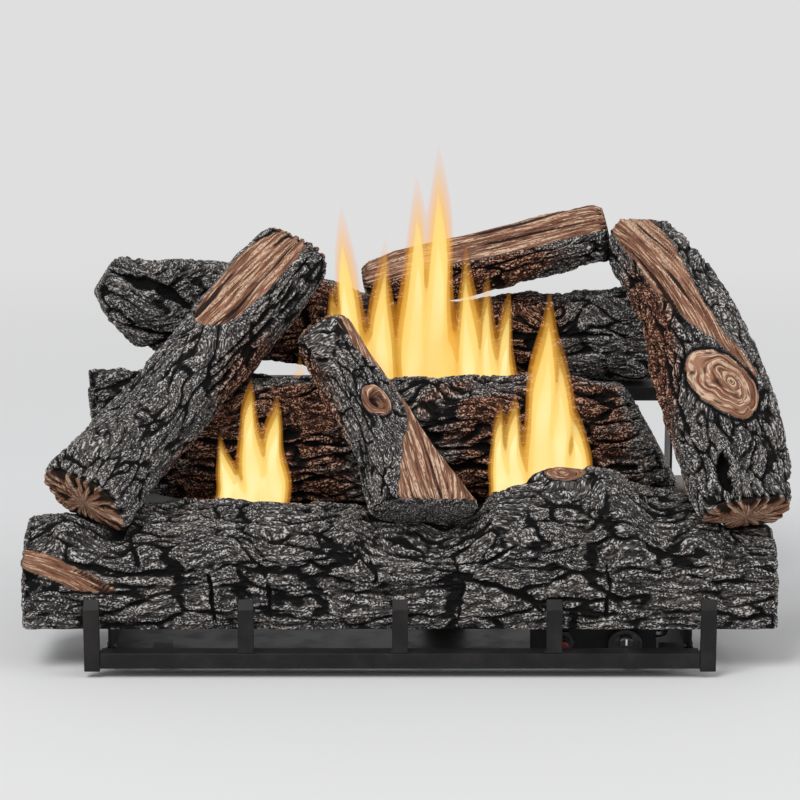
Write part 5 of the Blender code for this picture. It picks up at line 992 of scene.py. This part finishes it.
# the knob's pointer line, raised and painted white
knob_low, knob_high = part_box("control_knob")
knob_x, knob_z = (knob_low.x + knob_high.x) / 2, (knob_low.z + knob_high.z) / 2
pointer = bmesh.new()
bmesh.ops.create_cube(pointer, size=1)
for corner in pointer.verts:
    corner.co.x = knob_x + corner.co.x * KNOB_MARK_WIDTH
    corner.co.y = knob_low.y + corner.co.y * KNOB_MARK_DEPTH
    corner.co.z = knob_z + KNOB_MARK_OFFSET + corner.co.z * KNOB_MARK_LENGTH
bmesh.ops.bevel(pointer, geom=pointer.edges[:], offset=0.0001, segments=2, affect="EDGES")
pointer_mesh = bpy.data.meshes.new("knob_pointer")
pointer.to_mesh(pointer_mesh)
pointer.free()
pointer_mesh.materials.append(white_mark)
knob_pointer = place("knob_pointer", pointer_mesh)
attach(knob_pointer, "knob")

# Flames. Burning gas over the ports, no piece of the set, so it is staged like the floor:
# each fire is four clear bodies one inside the other, orange outside and pale within.
FRONT_FIRE_Y = -0.0323
REAR_FIRE_Y = 0.061
FRONT_FIRE_FOOT = 0.098
REAR_FIRE_FOOT = 0.118
# Tongues of each fire: place across, height of its tip, half width, lean of its tip
LEFT_FIRE = (
    (-0.1440, 0.178, 0.0095, -0.0035),
    (-0.1230, 0.226, 0.0120, -0.0010),
    (-0.1050, 0.213, 0.0115, 0.0010),
    (-0.1340, 0.150, 0.0120, 0.0),
    (-0.1120, 0.160, 0.0150, 0.0),
)
RIGHT_FIRE = (
    (0.0840, 0.206, 0.0100, 0.0),
    (0.0970, 0.214, 0.0110, -0.0035),
    (0.1190, 0.303, 0.0155, 0.0020),
    (0.1330, 0.262, 0.0135, -0.0020),
    (0.1480, 0.205, 0.0115, -0.0030),
    (0.0930, 0.160, 0.0160, 0.0),
    (0.1400, 0.165, 0.0165, 0.0),
)
BACK_FIRE = (
    (-0.0900, 0.228, 0.0100, 0.0020),
    (-0.0560, 0.292, 0.0130, 0.0),
    (-0.0420, 0.362, 0.0150, -0.0060),
    (-0.0150, 0.334, 0.0140, 0.0020),
    (0.0150, 0.386, 0.0165, -0.0030),
    (0.0300, 0.414, 0.0170, 0.0030),
    (0.0570, 0.326, 0.0140, 0.0020),
    (0.0760, 0.300, 0.0125, 0.0),
    (0.0900, 0.288, 0.0110, 0.0030),
    (-0.0250, 0.260, 0.0300, 0.0),
    (0.0300, 0.280, 0.0340, 0.0),
    (0.0700, 0.240, 0.0250, 0.0),
)
TONGUE_STEPS = 26
FLAME_SKIN = 0.0012
# Each body: its share of the fire's width and height, the glow it reaches, how dense it is
FIRE_BODIES = (
    ("outer", 1.30, 1.00, (1.0, 0.38, 0.030), 50.0),
    ("middle", 1.08, 0.94, (1.0, 0.68, 0.14), 80.0),
    ("inner", 0.84, 0.86, (1.15, 1.00, 0.38), 300.0),
    ("heart", 0.58, 0.72, (1.30, 1.30, 0.90), 1100.0),
)


def tongue(shape, x, y, foot, tip, half, lean):
    """Adds one tongue of flame, a closed drop drawn out to a tip, to a shape."""
    turns = [2 * math.pi * k / 16 for k in range(16)]
    rings = []
    for i in range(TONGUE_STEPS + 1):
        at = i / TONGUE_STEPS
        swell = (0.86 + 0.50 * at) * (1 - at**1.9) ** 1.05 if at < 1 else 0
        width = half * max(0.02, swell * (1 + 0.10 * math.sin(14 * at + 90 * x)))
        sway = lean * at**2 + 0.0026 * math.sin(8 * at + 60 * x) * at
        centre = Vector((x + sway, y, foot + (tip - foot) * at))
        rings.append([centre + Vector((width * math.cos(t), 0.62 * width * math.sin(t), 0)) for t in turns])
    tube(shape, rings)


def fire(name, tongues, y, foot):
    """A fire's bodies, each one skin over its tongues, filled with glowing gas."""
    for body, wide_share, high_share, glow, dense in FIRE_BODIES:
        shape = bmesh.new()
        for x, tip, half, lean in tongues:
            low = foot + (1 - wide_share) * 0.012
            top = foot + (tip - foot) * high_share
            tongue(shape, x, y, low, top, half * wide_share, lean * high_share)
        bmesh.ops.recalc_face_normals(shape, faces=shape.faces)
        mesh = bpy.data.meshes.new(f"{name}_{body}")
        shape.to_mesh(mesh)
        shape.free()
        thing = place(f"{name}_{body}", mesh)
        skin = thing.modifiers.new("skin", "REMESH")
        skin.mode = "VOXEL"
        skin.voxel_size = FLAME_SKIN
        soften = thing.modifiers.new("soften", "SMOOTH")
        soften.factor = 0.5
        soften.iterations = 8
        gas, tree = blank_material(f"{name}_{body}_gas")
        take = add(tree, "VolumeAbsorption", {"Color": (0, 0, 0), "Density": dense}).outputs[0]
        give = add(tree, "Emission", {"Color": glow, "Strength": dense}).outputs[0]
        both = add(tree, "AddShader", {0: take, 1: give}).outputs[0]
        add(tree, "OutputMaterial", {"Volume": both})
        mesh.materials.append(gas)
        thing.visible_diffuse = False
        thing.visible_glossy = False
        thing.visible_shadow = False


fire("left_fire", LEFT_FIRE, FRONT_FIRE_Y, FRONT_FIRE_FOOT)
fire("right_fire", RIGHT_FIRE, FRONT_FIRE_Y, FRONT_FIRE_FOOT)
fire("back_fire", BACK_FIRE, REAR_FIRE_Y, REAR_FIRE_FOOT)

# Floor, light and camera. A plain pale floor that fades into an even pale backdrop far off,
# a large soft lamp above, a weaker one from the right, and an even pale sky.
BACKDROP_GLOW = (0.74, 0.74, 0.74)
SKY_LIGHT = 0.52
FLOOR_REACH = 30
floor_sheet = bpy.data.meshes.new("studio_floor")
floor_corners = [(x * FLOOR_REACH, y * FLOOR_REACH, 0) for x, y in ((-1, -1), (1, -1), (1, 2), (-1, 2))]
floor_sheet.from_pydata(floor_corners, [], [(0, 1, 2, 3)])
studio_floor = place("studio_floor", floor_sheet)


def seen_plainly(tree):
    """1 for what the camera sees, also mirrored or through clear things, and 0 for other rays."""
    rays = add(tree, "LightPath").outputs
    seen = math_step("MAXIMUM", rays["Is Camera Ray"], rays["Is Glossy Ray"])
    return math_step("MAXIMUM", seen, rays["Is Transmission Ray"])


pale_floor, floor_tree = blank_material("pale_floor")
matt = add(floor_tree, "BsdfPrincipled", {"Base Color": (0.78, 0.78, 0.78), "Roughness": 0.9}).outputs[0]
glow = add(floor_tree, "Emission", {"Color": BACKDROP_GLOW, "Strength": 1.0}).outputs[0]
spot = add(floor_tree, "TexCoord").outputs["Object"]
far = add(floor_tree, "VectorMath", {0: spot}, operation="LENGTH").outputs["Value"]
fade = math_step("MULTIPLY", slope(far, 0.6, 2.2), seen_plainly(floor_tree))
faded = add(floor_tree, "MixShader", {0: fade, 1: matt, 2: glow}).outputs[0]
add(floor_tree, "OutputMaterial", {"Surface": faded})
floor_sheet.materials.append(pale_floor)

sky = bpy.data.worlds.new("pale_sky")
sky.use_nodes = True
sky_tree = sky.node_tree
sky_tree.nodes.clear()
light = add(sky_tree, "Background", {"Color": (0.90, 0.91, 0.93), "Strength": SKY_LIGHT}).outputs[0]
backdrop = add(sky_tree, "Background", {"Color": BACKDROP_GLOW, "Strength": 1.0}).outputs[0]
either = add(sky_tree, "MixShader", {0: seen_plainly(sky_tree), 1: light, 2: backdrop}).outputs[0]
add(sky_tree, "OutputWorld", {"Surface": either})
bpy.context.scene.world = sky


def soft_lamp(name, spot, aim, size, power):
    """A square lamp at a place, turned to its aim."""
    lamp = bpy.data.lights.new(name, "AREA")
    lamp.shape = "SQUARE"
    lamp.size = size
    lamp.energy = power
    holder = place(name, lamp)
    holder.location = spot
    holder.rotation_euler = (Vector(aim) - Vector(spot)).to_track_quat("-Z", "Y").to_euler()


soft_lamp("main_lamp", (-1.8, -2.6, 4.2), (0, 0, 0.15), 2.4, 140)
soft_lamp("side_lamp", (3.6, -1.2, 2.4), (0, 0, 0.15), 2.0, 44)

CAMERA_LEAN = math.radians(12)
CAMERA_DISTANCE = 2.2
CAMERA_AIM = (0, -0.150, 0.2285)
# Half the frame and the lens's length, both in pixels of a frame 800 wide
HALF_FRAME = 400
LENS_LENGTH = 2801
eye = bpy.data.cameras.new("photo_camera")
eye.sensor_fit = "HORIZONTAL"
eye.angle = 2 * math.atan(HALF_FRAME / LENS_LENGTH)
camera = place("photo_camera", eye)
camera.location = (
    CAMERA_AIM[0],
    CAMERA_AIM[1] - CAMERA_DISTANCE * math.cos(CAMERA_LEAN),
    CAMERA_AIM[2] + CAMERA_DISTANCE * math.sin(CAMERA_LEAN),
)
camera.rotation_euler = (math.radians(90) - CAMERA_LEAN, 0, 0)
bpy.context.scene.camera = camera
